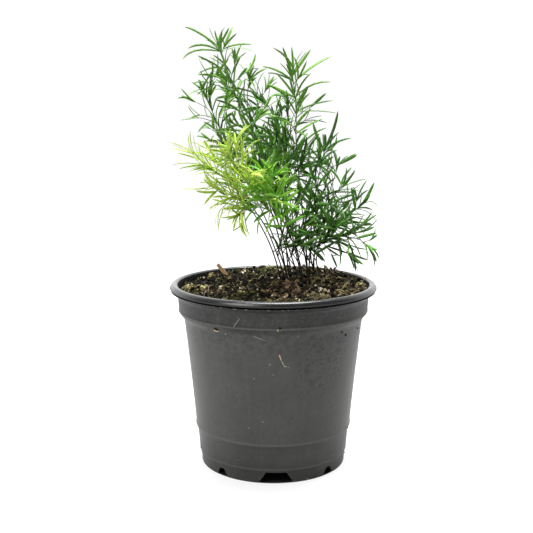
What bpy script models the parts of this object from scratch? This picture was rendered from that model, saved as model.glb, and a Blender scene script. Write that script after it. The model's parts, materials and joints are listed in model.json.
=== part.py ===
"""Potted asparagus fern: a nursery pot of soil with sixteen leafy stems, a wood splinter and perlite grains.

Metres, +Z up. The origin is the centre of the pot's foot, on the floor. The viewer looks along +Y.
The tables of stems and grains are in millimetres, and so is all the growth that is worked out from them.
"""

import math
from dataclasses import dataclass

import bmesh
import bpy
import numpy as np
from mathutils import Matrix, Vector

MM = 0.001
UP = np.array([0.0, 0.0, 1.0])

# The pot, in millimetres. The wall's outer side runs down from under the lip, as radii and heights.
POT_HEIGHT = 146.0
LIP_RADIUS = 82.5
LIP_ROLL = 3.5
LIP_DROP = 6.2
LIP_UNDERCUT = 5.5
FOOT_RADIUS = 58.5
COLLAR = ((76.3, 135.5), (74.9, 121.5), (73.7, 119.0))
BODY = ((71.9, 116.7), (71.0, 113.5), (66.7, 72.0), (62.7, 29.8))
FOOT_BAND = ((61.8, 28.2), (FOOT_RADIUS, 0.0))
WALL = 1.2
FOOT_WALL = 1.5
FLOOR_UNDERSIDE = 10.5
INNER_RIM_HEIGHT = 138.0
FLOOR_CORNER_INSET = 0.8
POT_SEGMENTS = 40
NOTCH_REACH = 9.0
CUTTER_MARGIN = 1.0
DRAIN_RADIUS = 4.5
DRAIN_RING = 46.0
DRAIN_SIDES = 8

# The foot's notches. Wide and narrow ones take turns: width at the floor, width at the top and height.
NOTCHES = 8
NOTCH_TURN = 2.0
NOTCH_SIZES = ((28.0, 15.8, 8.8), (12.8, 4.6, 6.2))

# The soil: how far it stays from the pot, and how it is divided
SOIL_GAP = 0.3
SOIL_SEGMENTS = 20
SOIL_RINGS = (60.0, 48.0, 37.0, 27.0, 18.0, 9.0)
SOIL_BLANK_HEIGHT = 150.0
HOLE_DEPTH = 14.0
HOLE_GAP = 0.3
HOLE_RISE = 4.0
STEM_RISE = 1.5

# The shoots: thicknesses, spacings and the room that the foliage keeps to, in millimetres
STEM_RADIUS = 0.85
STEM_TIP_RADIUS = 0.5
STEM_STEP = 18.0
BRANCH_RADIUS = 0.6
BRANCH_TIP_RADIUS = 0.5
BRANCH_STEP = 12.3
NODE_STEP = 9.0
FIRST_NODE = 6.0
TIP_INSET = 0.9
STAGGER = 1.3
TIP_BLADES = 5
WHORL_BLADES = 4
BLADE_WIDTH = 2.0
BLADE_THICKNESS = 0.8
BLADE_WIDEST = 0.28
BLADE_SINK = 0.4
CLEARANCE = 0.35
SIDE_LIMIT = 81.0
LOWEST = 151.0
HIGHEST = 347.0
GOLDEN_ANGLE = math.radians(137.5)

# Angles in degrees between a blade and what bears it: in a ring of blades, beside a branch and at its tip
RING_ANGLE = 40.0
SIDE_ANGLE = 56.0
END_ANGLE = 30.0

# Colours as linear red, green and blue
POT_GREY = (0.085, 0.088, 0.09)
SOIL_BROWN = (0.055, 0.038, 0.022)
LEAF_GREEN = (0.06, 0.2, 0.04)
LEAF_YELLOW = (0.36, 0.48, 0.06)
WOOD_TAN = (0.45, 0.3, 0.15)
PERLITE_WHITE = (0.8, 0.79, 0.72)


@dataclass
class Stem:
    """One shoot: its route from the soil to its tip, and how it branches."""

    name: str
    route: tuple
    leafy_from: float
    reach: float
    blade: float
    whorls: tuple = ()
    sprays: tuple = ()
    colour: tuple = LEAF_GREEN


# The route starts with x and y where the shoot leaves the soil. A spray is a side branch placed by hand, as the
# share of the route where it starts and the place of its tip. A whorl is a ring of blades on the shoot itself.
STEMS = (
    Stem(
        "stem_01",
        ((19, -3), (18, -3, 156), (10, -4, 180), (3, -5, 196), (-7, -6, 236), (-13, -8, 260), (-21, -6, 274),
         (-28, -4, 290), (-34, 0, 308), (-38, 2, 318), (-42, 4, 330)),
        leafy_from=0.36, reach=24, blade=17, whorls=(0.93,),
        sprays=((0.62, (-30, -20, 262)), (0.80, (-50, -10, 302)), (0.86, (-30, 12, 318))),
    ),
    Stem(
        "stem_02",
        ((9, 6), (5, 6, 162), (-5, 2, 188), (-15, 0, 204), (-24, 0, 221), (-31, 4, 239), (-38, 8, 258),
         (-47, 10, 278), (-54, 12, 293)),
        leafy_from=0.42, reach=22, blade=15,
        sprays=(
            (0.66, (-46, -4, 268)), (0.75, (-52, 22, 268)), (0.82, (-36, 20, 290)), (0.85, (-60, 2, 276)),
        ),
    ),
    Stem(
        "stem_03",
        ((6, 2), (3, 0, 160), (-3, -6, 178), (-12, -14, 197), (-20, -22, 211), (-28, -28, 223), (-39, -32, 233),
         (-49, -34, 239)),
        leafy_from=0.50, reach=20, blade=17,
        sprays=(
            (0.55, (-36, -30, 212)), (0.62, (-44, -40, 224)), (0.70, (-46, -26, 250)), (0.62, (-26, -38, 204)),
        ),
        colour=LEAF_YELLOW,
    ),
    Stem(
        "stem_04",
        ((12, -3), (8, -4, 162), (0, -10, 184), (-8, -18, 203), (-15, -26, 218), (-22, -32, 231), (-27, -36, 245),
         (-28, -38, 256)),
        leafy_from=0.50, reach=20, blade=17,
        sprays=((0.62, (-14, -40, 232)), (0.72, (-36, -42, 250))),
        colour=LEAF_YELLOW,
    ),
    Stem(
        "stem_05",
        ((11, 12), (9, 13, 160), (4, 18, 182), (-3, 22, 206), (-9, 28, 234), (-17, 34, 266), (-21, 36, 290),
         (-19, 36, 308)),
        leafy_from=0.42, reach=25, blade=16,
        sprays=((0.78, (-6, 34, 298)), (0.85, (-34, 40, 304))),
    ),
    Stem(
        "stem_06",
        ((13, 18), (12, 18, 156), (11, 20, 171), (12, 26, 197), (10, 34, 225), (6, 40, 253), (2, 42, 275)),
        leafy_from=0.42, reach=25, blade=16,
    ),
    Stem(
        "stem_07",
        ((23, -9), (20, -9, 161), (15, -12, 180), (7, -20, 199), (2, -28, 214), (-2, -36, 227), (-4, -42, 236)),
        leafy_from=0.50, reach=18, blade=16,
        sprays=((0.60, (14, -30, 208)), (0.72, (-12, -30, 214))),
    ),
    Stem(
        "stem_08",
        ((24, 3), (21, 2, 162), (16, 1, 181), (10, 0, 204), (5, 0, 231), (3, 2, 259), (-1, 4, 280), (-9, 4, 289)),
        leafy_from=0.40, reach=26, blade=17,
    ),
    Stem(
        "stem_09",
        ((28, 18), (27, 19, 159), (24, 21, 173), (19, 22, 183), (15, 22, 201), (12, 22, 226), (11, 20, 250),
         (12, 20, 272), (12, 20, 286)),
        leafy_from=0.40, reach=25, blade=17,
    ),
    Stem(
        "stem_10",
        ((29, 34), (28, 30, 160), (27, 24, 178), (23, 16, 206), (20, 10, 235), (18, 8, 258), (18, 8, 276),
         (17, 8, 291), (15, 8, 308)),
        leafy_from=0.36, reach=24, blade=22, whorls=(0.82, 0.91),
    ),
    Stem(
        "stem_11",
        ((34, 37), (32, 32, 158), (31, 24, 174), (32, 12, 202), (35, 6, 223), (38, 2, 241), (41, 0, 254)),
        leafy_from=0.40, reach=22, blade=19, whorls=(0.90,),
        sprays=((0.80, (54, 6, 240)),),
    ),
    Stem(
        "stem_12",
        ((38, 31), (36, 28, 158), (38, 21, 172), (45, 12, 186), (53, 4, 197), (62, 0, 202), (70, -2, 208)),
        leafy_from=0.38, reach=20, blade=16,
        sprays=((0.62, (60, 12, 216)),),
    ),
    Stem(
        "stem_13",
        ((34, 22), (33, 17, 160), (36, 4, 174), (44, -10, 184), (55, -18, 185), (67, -24, 183), (74, -27, 177)),
        leafy_from=0.36, reach=18, blade=16,
        sprays=((0.60, (58, -20, 172)), (0.45, (46, -16, 170))),
    ),
    Stem(
        "stem_14",
        ((30, 26), (30, 22, 159), (31, 8, 179), (35, -8, 197), (41, -16, 210), (49, -20, 220), (55, -22, 225)),
        leafy_from=0.40, reach=22, blade=17,
    ),
    Stem(
        "stem_15",
        ((35, 43), (35, 43, 160), (38, 44, 182), (44, 46, 203), (51, 48, 224), (55, 48, 237)),
        leafy_from=0.45, reach=24, blade=17,
    ),
    Stem(
        "stem_16",
        ((15, 27), (13, 29, 160), (7, 34, 182), (-2, 40, 204), (-14, 45, 224), (-22, 47, 241), (-27, 47, 249)),
        leafy_from=0.48, reach=25, blade=17,
    ),
)

# Perlite grains on the soil: x, y and size across. Their centres lie below the surface by a share of that size.
GRAINS = (
    (36, -33, 4.6), (42, -23, 4.2), (49, -9, 3.6), (-26, 56, 3.8), (5, 62, 4.4), (-43, 17, 3.4), (-52, -34, 3.6),
)
GRAIN_SINK = 0.15

# The splinter of wood: its foot, its tip and its section
SPLINTER_FOOT = (-34.0, 42.5, 137.0)
SPLINTER_TIP = (-47.5, 46.0, 153.0)
SPLINTER_WIDTH = 3.4
SPLINTER_THICKNESS = 2.0


def clear_scene():
    for thing in list(bpy.data.objects):
        bpy.data.objects.remove(thing, do_unlink=True)


def collection_named(name):
    made = bpy.data.collections.new(name)
    bpy.context.scene.collection.children.link(made)
    return made


def finish_of(name, colour, roughness):
    """A Principled material."""
    made = bpy.data.materials.new(name)
    made.use_nodes = True
    surface = made.node_tree.nodes["Principled BSDF"]
    surface.inputs["Base Color"].default_value = (*colour, 1.0)
    surface.inputs["Roughness"].default_value = roughness
    surface.inputs["Metallic"].default_value = 0.0
    return made


def object_from(name, mesh, collection):
    made = bpy.data.objects.new(name, mesh)
    collection.objects.link(made)
    return made


def mesh_from(name, shape):
    """The mesh of a bmesh, which is then freed."""
    mesh = bpy.data.meshes.new(name)
    shape.to_mesh(mesh)
    shape.free()
    return mesh


def shade_round(thing):
    thing.data.shade_smooth()
    thing.data.set_sharp_from_angle(angle=math.radians(32.0))


def settle(thing):
    """Applies an object's modifiers by taking its evaluated mesh."""
    graph = bpy.context.evaluated_depsgraph_get()
    graph.update()
    evaluated = thing.evaluated_get(graph)
    mesh = bpy.data.meshes.new_from_object(evaluated, preserve_all_data_layers=True, depsgraph=graph)
    thing.modifiers.clear()
    thing.data = mesh


def turned(name, profile, segments, collection):
    """A profile of radii and heights in millimetres, turned about Z."""
    shape = bmesh.new()
    rim = [shape.verts.new((radius * MM, 0.0, height * MM)) for radius, height in profile]
    for start, end in zip(rim[:-1], rim[1:]):
        shape.edges.new((start, end))
    made = object_from(name, mesh_from(name, shape), collection)
    screw = made.modifiers.new("Turn", "SCREW")
    screw.steps = segments
    screw.render_steps = segments
    screw.use_merge_vertices = True
    screw.merge_threshold = 0.00001
    settle(made)
    return made


def combine(thing, operand, operation, solver="EXACT"):
    """Joins or cuts with every object of a collection, then applies it."""
    boolean = thing.modifiers.new("Combine", "BOOLEAN")
    boolean.operation = operation
    boolean.operand_type = "COLLECTION"
    boolean.collection = operand
    boolean.solver = solver
    settle(thing)


def keep_one_body(thing):
    """Keeps the connected surface with the most points: a sealed hollow is filled and a scrap is dropped."""
    shape = bmesh.new()
    shape.from_mesh(thing.data)
    waiting = set(shape.verts)
    bodies = []
    while waiting:
        body = set()
        front = [waiting.pop()]
        while front:
            point = front.pop()
            body.add(point)
            for edge in point.link_edges:
                other = edge.other_vert(point)
                if other in waiting:
                    waiting.discard(other)
                    front.append(other)
        bodies.append(body)
    bodies.sort(key=len)
    scraps = [point for body in bodies[:-1] for point in body]
    bmesh.ops.delete(shape, geom=scraps, context="VERTS")
    shape.to_mesh(thing.data)
    shape.free()


def empty_out(collection):
    """Removes a collection and the objects in it."""
    for thing in list(collection.objects):
        bpy.data.objects.remove(thing, do_unlink=True)
    bpy.data.collections.remove(collection)


def mark_cutter(thing):
    thing.hide_render = True
    thing.display_type = "WIRE"


def lip_arc():
    """Points over the rolled lip, from its inner side round to its underside."""
    centre_height = POT_HEIGHT - LIP_ROLL
    arc = []
    for angle in (135.0, 90.0, 45.0, 0.0):
        turn = math.radians(angle)
        radius = LIP_RADIUS - LIP_ROLL + LIP_ROLL * math.cos(turn)
        arc.append((radius, centre_height + LIP_ROLL * math.sin(turn)))
    for angle in (-30.0, -80.0):
        turn = math.radians(angle)
        radius = LIP_RADIUS - LIP_UNDERCUT + LIP_UNDERCUT * math.cos(turn)
        arc.append((radius, centre_height + LIP_DROP * math.sin(turn)))
    return arc


def inner_wall():
    """The wall's inner side, from the floor up: the outer side moved in by the wall's thickness."""
    outline = np.array((*COLLAR, *BODY, *FOOT_BAND))
    inner = []
    for before, place, after in zip(outline[:-2], outline[1:-1], outline[2:]):
        run = unit(after - before)
        inner.append(tuple(place + WALL * np.array([run[1], -run[0]])))
    rim = (COLLAR[0][0] - WALL, INNER_RIM_HEIGHT)
    floor_corner = (FOOT_RADIUS - FLOOR_CORNER_INSET, FLOOR_UNDERSIDE + WALL)
    return [floor_corner, *reversed(inner), rim]


def notch_cutter(name, size, turn, collection):
    """A wedge that is wider at the floor than above, through the pot's foot."""
    foot_width, top_width, rise = size
    notch = bmesh.new()
    bmesh.ops.create_cube(notch, size=1.0)
    for corner in notch.verts:
        upper = corner.co.z > 0
        width = top_width if upper else foot_width
        height = rise if upper else -CUTTER_MARGIN
        outward = FOOT_RADIUS + corner.co.y * NOTCH_REACH
        corner.co = Vector((corner.co.x * width, -outward, height)) * MM
    bmesh.ops.recalc_face_normals(notch, faces=notch.faces)
    piece = object_from(name, mesh_from(name, notch), collection)
    piece.matrix_world = turn
    mark_cutter(piece)


def drain_cutter(name, turn, collection):
    """A short post through the pot's floor."""
    drain = bmesh.new()
    bmesh.ops.create_cone(
        drain,
        cap_ends=True,
        segments=DRAIN_SIDES,
        radius1=DRAIN_RADIUS * MM,
        radius2=DRAIN_RADIUS * MM,
        depth=(WALL + 2 * CUTTER_MARGIN) * MM,
    )
    piece = object_from(name, mesh_from(name, drain), collection)
    middle = Vector((0.0, -DRAIN_RING, FLOOR_UNDERSIDE + WALL / 2)) * MM
    piece.matrix_world = turn @ Matrix.Translation(middle)
    mark_cutter(piece)


def build_pot(parts, cutters):
    """The pot: a turned wall with a rolled lip, notches in its foot and drain holes in its floor."""
    floor_top = FLOOR_UNDERSIDE + WALL
    foot_inner = FOOT_RADIUS - FOOT_WALL
    profile = [(0.0, floor_top), *inner_wall(), *lip_arc(), *COLLAR, *BODY, *FOOT_BAND]
    profile += [(foot_inner, 0.0), (foot_inner, FLOOR_UNDERSIDE), (0.0, FLOOR_UNDERSIDE)]
    pot = turned("pot", profile, POT_SEGMENTS, parts)
    for k in range(NOTCHES):
        turn = Matrix.Rotation(2 * math.pi * k / NOTCHES + math.radians(NOTCH_TURN), 4, "Z")
        notch_cutter(f"notch_{k + 1}", NOTCH_SIZES[k % 2], turn, cutters)
        drain_cutter(f"drain_{k + 1}", turn, cutters)
    bpy.context.view_layer.update()
    combine(pot, cutters, "DIFFERENCE")
    shade_round(pot)
    return pot


def soil_height(x, y):
    """The soil's height in millimetres: it rises to the back and right, with mounds and a hollow."""
    slope = 141.2 + 0.035 * x + 0.05 * y
    crown = 4.0 * math.exp(-((x - 18) ** 2 + (y - 6) ** 2) / 800)
    rear = 3.0 * math.exp(-((x - 31) ** 2 + (y - 36) ** 2) / 288)
    hollow = -5.0 * math.exp(-((x + 31) ** 2 + (y - 10) ** 2) / 242)
    return slope + crown + rear + hollow


def build_soil(parts):
    """The soil: it fills the pot up to its uneven surface."""
    side = [(radius - SOIL_GAP, height) for radius, height in inner_wall()]
    floor = side[0][1] + SOIL_GAP
    side[0] = (side[0][0], floor)
    edge = side[-1][0]
    profile = [(radius, SOIL_BLANK_HEIGHT) for radius in (0.0, *reversed(SOIL_RINGS), edge)]
    profile += [*reversed(side), (0.0, floor)]
    soil = turned("soil", profile, SOIL_SEGMENTS, parts)
    for point in soil.data.vertices:
        if point.co.z > (SOIL_BLANK_HEIGHT - 1.0) * MM:
            point.co.z = soil_height(point.co.x / MM, point.co.y / MM) * MM
    return soil


def unit(vector):
    return vector / max(float(np.linalg.norm(vector)), 1e-9)


def smooth_line(points, step):
    """A Catmull-Rom line through the points, with a point about every step."""
    inner = np.asarray(points, float)
    padded = np.vstack([2 * inner[0] - inner[1], inner, 2 * inner[-1] - inner[-2]])
    line = []
    for i in range(1, len(padded) - 2):
        before, start, end, after = padded[i - 1:i + 3]
        pieces = max(1, round(float(np.linalg.norm(end - start)) / step))
        for t in np.arange(pieces) / pieces:
            straight = 2 * start + (end - before) * t
            bend = (2 * before - 5 * start + 4 * end - after) * t**2
            twist = (3 * start - before - 3 * end + after) * t**3
            line.append(0.5 * (straight + bend + twist))
    line.append(inner[-1])
    return np.array(line)


def length_of(line):
    return float(np.linalg.norm(np.diff(line, axis=0), axis=1).sum())


def along(line, share):
    """The point and the direction at a share of a line's length."""
    steps = np.linalg.norm(np.diff(line, axis=0), axis=1)
    marks = np.concatenate([[0.0], np.cumsum(steps)])
    at = share * marks[-1]
    i = min(int(np.searchsorted(marks, at, side="right")) - 1, len(steps) - 1)
    part = (at - marks[i]) / steps[i]
    return line[i] + part * (line[i + 1] - line[i]), unit(line[i + 1] - line[i])


def leaning(direction, angle, turn):
    """A direction at an angle from another one, and turned about it."""
    guide = UP if abs(direction[2]) < 0.95 else np.array([1.0, 0.0, 0.0])
    side = unit(np.cross(direction, guide))
    other = np.cross(direction, side)
    around = side * math.cos(turn) + other * math.sin(turn)
    return direction * math.cos(angle) + around * math.sin(angle)


def within_limits(point):
    return abs(point[0]) < SIDE_LIMIT and abs(point[1]) < SIDE_LIMIT and LOWEST < point[2] < HIGHEST


def branch_line(start, end):
    """A side branch, which is straight."""
    return np.array([start, end])


class Space:
    """The straight pieces placed so far, each with its radius and the shoot that it belongs to."""

    def __init__(self):
        self.starts = []
        self.ends = []
        self.radii = []
        self.owners = []

    def add(self, line, radius, owner):
        for start, end in zip(line[:-1], line[1:]):
            self.starts.append(start)
            self.ends.append(end)
            self.radii.append(radius)
            self.owners.append(owner)

    def gap(self, start, end, radius, owner, own=False):
        """The least gap between a new piece and those of the other shoots, or those of its own."""
        owners = np.array(self.owners)
        chosen = owners == owner if own else owners != owner
        if not chosen.any():
            return math.inf
        starts = np.array(self.starts)[chosen]
        theirs = np.array(self.ends)[chosen] - starts
        ours = end - start
        between = start - starts
        a = ours @ ours
        e = (theirs * theirs).sum(axis=1)
        b = theirs @ ours
        c = between @ ours
        f = (theirs * between).sum(axis=1)
        spread = a * e - b * b
        s = np.where(spread > 1e-9, np.clip((b * f - c * e) / np.maximum(spread, 1e-9), 0, 1), 0)
        t = np.clip((b * s + f) / e, 0, 1)
        s = np.clip((b * t - c) / a, 0, 1)
        apart = (start + s[:, None] * ours) - (starts + t[:, None] * theirs)
        return float((np.linalg.norm(apart, axis=1) - np.array(self.radii)[chosen] - radius).min())

    def has_room(self, line, radius, owner):
        return all(self.gap(start, end, radius, owner) > CLEARANCE for start, end in zip(line[:-1], line[1:]))


def stem_line(stem):
    """A shoot's foot in the soil, and its line from just above the soil to its tip."""
    x, y = stem.route[0]
    surface = soil_height(x, y)
    above = smooth_line([(x, y, surface + STEM_RISE), *stem.route[1:]], STEM_STEP)
    return np.array([x, y, surface - HOLE_DEPTH]), above


def side_branches(stem, number, line, space):
    """A shoot's side branches: those placed by hand, then a spiral of them that keeps clear of other shoots."""
    draw = np.random.default_rng(100 + number)
    found = []
    for share, tip in stem.sprays:
        branch = branch_line(along(line, share)[0], np.array(tip, float))
        if space.has_room(branch, BRANCH_RADIUS, stem.name):
            space.add(branch, BRANCH_RADIUS, stem.name)
            found.append(branch)
    turn = draw.uniform(0, 2 * math.pi)
    count = int(length_of(line) * (1 - stem.leafy_from) / BRANCH_STEP)
    for k in range(count):
        place = (k + 0.5) / count
        start, direction = along(line, stem.leafy_from + (1 - stem.leafy_from) * place)
        turn += GOLDEN_ANGLE
        swell = 0.5 + 0.5 * math.sin(math.pi * min(1.0, 0.25 + place * 0.85))
        size = stem.reach * swell * draw.uniform(0.8, 1.15) * (0.7 if place > 0.8 else 1.0)
        angle = math.radians(draw.uniform(52, 68))
        for attempt in range(10):
            outward = leaning(direction, angle, turn + attempt * math.radians(37))
            tip = start + unit(outward + 0.1 * UP) * size * (1 - 0.04 * attempt)
            branch = branch_line(start, tip)
            if within_limits(tip) and space.has_room(branch, BRANCH_RADIUS, stem.name):
                space.add(branch, BRANCH_RADIUS, stem.name)
                found.append(branch)
                break
    return found


def blade_places(stem, line, branches, draw):
    """Where blades grow: point, direction, angle in degrees, size and turn. A whorl's roots climb its stem."""
    places = []
    total = length_of(line)
    for share in (*stem.whorls, 1.0):
        turn = draw.uniform(0, 2 * math.pi)
        count = TIP_BLADES if share == 1.0 else WHORL_BLADES
        for j in range(count):
            point, direction = along(line, share - (TIP_INSET + j * STAGGER) / total)
            places.append((point, direction, RING_ANGLE, 1.0, turn + 2 * math.pi * j / count))
    for branch in branches:
        total = length_of(branch)
        turn = draw.uniform(0, 2 * math.pi)
        nodes = max(1, int((total - FIRST_NODE) / NODE_STEP))
        for k in range(nodes):
            turn += GOLDEN_ANGLE
            point, direction = along(branch, (FIRST_NODE + k * (total - FIRST_NODE) / nodes) / total)
            places.append((point, direction, SIDE_ANGLE, 0.95, turn))
        for j in range(2):
            point, direction = along(branch, 1.0 - (TIP_INSET + j * STAGGER) / total)
            places.append((point, direction, END_ANGLE, 0.85, turn + GOLDEN_ANGLE + j * math.pi))
    return places


def blades_of(stem, number, line, branches, space):
    """A shoot's blades, as root and tip, each turned or shortened until it is clear of the other shoots."""
    draw = np.random.default_rng(500 + number)
    blades = []
    for point, direction, angle, scale, turn in blade_places(stem, line, branches, draw):
        size = stem.blade * scale * draw.uniform(0.82, 1.18)
        lean = math.radians(angle + draw.uniform(-9, 9))
        for attempt in range(9):
            outward = unit(leaning(direction, lean, turn + attempt * math.radians(40)) + 0.06 * UP)
            tip = point + outward * size * (1 - 0.03 * attempt)
            blade = np.array([point, tip])
            if not within_limits(tip) or not space.has_room(blade, BLADE_WIDTH / 2, stem.name):
                continue
            outer = point + (tip - point) * 0.25
            crossed = space.gap(outer, tip, BLADE_WIDTH / 2, stem.name, own=True) < 0.1
            if crossed and attempt < 6:
                continue
            blades.append((point, tip, direction))
            space.add(blade, BLADE_WIDTH / 2, stem.name)
            break
    return blades


def tube(name, line, radii, sides, collection):
    """A closed tube along a line in millimetres, with a radius at each point, as a mesh object."""
    curve = bpy.data.curves.new(name, "CURVE")
    curve.dimensions = "3D"
    curve.bevel_depth = 1.0 * MM
    curve.bevel_resolution = (sides - 4) // 2
    curve.use_fill_caps = True
    spline = curve.splines.new("POLY")
    spline.points.add(len(line) - 1)
    for point, place, radius in zip(spline.points, line, radii):
        point.co = (*(np.asarray(place) * MM), 1.0)
        point.radius = radius
    guide = object_from(f"{name}_guide", curve, collection)
    graph = bpy.context.evaluated_depsgraph_get()
    mesh = bpy.data.meshes.new_from_object(guide.evaluated_get(graph))
    shape = bmesh.new()
    shape.from_mesh(mesh)
    bmesh.ops.remove_doubles(shape, verts=shape.verts, dist=0.00001)
    bmesh.ops.recalc_face_normals(shape, faces=shape.faces)
    shape.to_mesh(mesh)
    shape.free()
    made = object_from(name, mesh, collection)
    made.matrix_world = guide.matrix_world
    bpy.data.objects.remove(guide, do_unlink=True)
    return made


def blade_mesh():
    """A slim three-sided blade one unit long, widest a third of the way from its sunk root to its point."""
    shape = bmesh.new()
    bmesh.ops.create_uvsphere(shape, u_segments=3, v_segments=2, radius=1.0)
    for point in shape.verts:
        if abs(point.co.z) < 0.5:
            point.co = (point.co.y / math.sqrt(3), point.co.x * 2 / 3 - 1 / 6, BLADE_WIDEST)
        else:
            point.co = (0.0, 0.0, 1.0 if point.co.z > 0 else 0.0)
    bmesh.ops.recalc_face_normals(shape, faces=shape.faces)
    return mesh_from("blade", shape)


def place_blade(mesh, name, root, tip, direction, collection):
    """A blade's copy, its flat side towards the branch that bears it."""
    outward = unit(tip - root)
    width = unit(np.cross(direction, outward))
    face = np.cross(outward, width)
    start = root - outward * BLADE_SINK
    size = float(np.linalg.norm(tip - start))
    turned_axes = Matrix((
        (*(width * BLADE_WIDTH), 0.0),
        (*(face * BLADE_THICKNESS), 0.0),
        (*(outward * size), 0.0),
        (0.0, 0.0, 0.0, 1.0),
    )).transposed()
    made = object_from(name, mesh, collection)
    made.matrix_world = Matrix.Translation(Vector(start) * MM) @ Matrix.Scale(MM, 4) @ turned_axes
    return made


def build_stems(parts, cutters):
    """The shoots, each fused from its stem, side branches and blades, and a cutter for the hole of each."""
    space = Space()
    lines = {}
    for stem in STEMS:
        foot, line = stem_line(stem)
        lines[stem.name] = (foot, line)
        space.add(np.vstack([foot, line]), STEM_RADIUS, stem.name)
    branches = {}
    for number, stem in enumerate(STEMS):
        branches[stem.name] = side_branches(stem, number, lines[stem.name][1], space)
    blades = {}
    for number, stem in enumerate(STEMS):
        blades[stem.name] = blades_of(stem, number, lines[stem.name][1], branches[stem.name], space)
    pattern = blade_mesh()
    for stem in STEMS:
        foot, line = lines[stem.name]
        whole = np.vstack([foot, line])
        taper = np.linspace(STEM_RADIUS, STEM_TIP_RADIUS, len(whole))
        shoot = tube(stem.name, whole, taper, 6, parts)
        growth = collection_named(f"{stem.name}_growth")
        for k, branch in enumerate(branches[stem.name]):
            tube(f"{stem.name}_branch_{k + 1}", branch, (BRANCH_RADIUS, BRANCH_TIP_RADIUS), 4, growth)
        for k, (root, tip, direction) in enumerate(blades[stem.name]):
            place_blade(pattern, f"{stem.name}_blade_{k + 1}", root, tip, direction, growth)
        bpy.context.view_layer.update()
        combine(shoot, growth, "UNION", "MANIFOLD")
        keep_one_body(shoot)
        empty_out(growth)
        shoot.data.materials.clear()
        shoot.data.materials.append(finish_of(stem.name, stem.colour, 0.5))
        ends = [foot - UP * HOLE_GAP, line[0] + UP * HOLE_RISE]
        hole = tube(f"{stem.name}_hole", ends, [STEM_RADIUS + HOLE_GAP] * 2, 6, cutters)
        mark_cutter(hole)


def build_grains(parts, cutters):
    """Perlite grains, each in a socket of its own in the soil."""
    for k, (x, y, size) in enumerate(GRAINS):
        for name, grown, collection in (
            (f"perlite_{k + 1}", 0.0, parts),
            (f"perlite_{k + 1}_socket", HOLE_GAP, cutters),
        ):
            shape = bmesh.new()
            bmesh.ops.create_icosphere(shape, subdivisions=1, radius=(size / 2 + grown) * MM)
            grain = object_from(name, mesh_from(name, shape), collection)
            height = soil_height(x, y) - size * GRAIN_SINK
            turn = Matrix.Rotation(1.7 * k, 4, "Z") @ Matrix.Rotation(0.9 * k, 4, "X")
            grain.matrix_world = Matrix.Translation(Vector((x, y, height)) * MM) @ turn
            if grown:
                mark_cutter(grain)
            else:
                grain.data.materials.append(finish_of(name, PERLITE_WHITE, 0.85))


def build_splinter(parts, cutters):
    """The splinter of wood that stands out of the soil, and its socket."""
    foot = np.array(SPLINTER_FOOT)
    tip = np.array(SPLINTER_TIP)
    axis = unit(tip - foot)
    across = unit(np.cross(axis, np.array([0.0, 1.0, 0.0])))
    depth = np.cross(axis, across)
    centre = Vector((foot + tip) / 2) * MM
    turn = Matrix((across, depth, axis)).transposed().to_4x4()
    for name, grown, collection in (("wood_splinter", 0.0, parts), ("wood_splinter_socket", HOLE_GAP, cutters)):
        shape = bmesh.new()
        bmesh.ops.create_cube(shape, size=1.0)
        size = (
            SPLINTER_WIDTH + 2 * grown,
            SPLINTER_THICKNESS + 2 * grown,
            float(np.linalg.norm(tip - foot)) + 2 * grown,
        )
        bmesh.ops.scale(shape, vec=Vector(size) * MM, verts=shape.verts)
        made = object_from(name, mesh_from(name, shape), collection)
        made.matrix_world = Matrix.Translation(centre) @ turn
        if grown:
            mark_cutter(made)
        else:
            made.data.materials.append(finish_of(name, WOOD_TAN, 0.7))


def main():
    clear_scene()
    parts = collection_named("potted_asparagus_fern")
    pot_cutters = collection_named("pot_cutters")
    soil_cutters = collection_named("soil_cutters")
    pot = build_pot(parts, pot_cutters)
    pot.data.materials.append(finish_of("pot", POT_GREY, 0.5))
    soil = build_soil(parts)
    build_stems(parts, soil_cutters)
    build_grains(parts, soil_cutters)
    build_splinter(parts, soil_cutters)
    bpy.context.view_layer.update()
    combine(soil, soil_cutters, "DIFFERENCE", "MANIFOLD")
    soil.data.materials.clear()
    soil.data.materials.append(finish_of("soil", SOIL_BROWN, 0.95))


main()
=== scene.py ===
"""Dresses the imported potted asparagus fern: pot, soil, leafy shoots, grains and splinter, in a plain studio.

Tables and growth are in millimetres, as in the part's source, and meshes are in metres. The viewer looks
along +Y. The shoots repeat the growth rule of the part with the same seeds, so that each fine leaf stands
where the solid's own blade is, and then fill in the leaves that the solid leaves out.
"""

import json
import logging
import math
from collections.abc import Iterable, Sequence
from dataclasses import dataclass
from enum import Enum

import bmesh
import bpy
import numpy as np
from mathutils import Matrix, Vector, noise

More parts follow.
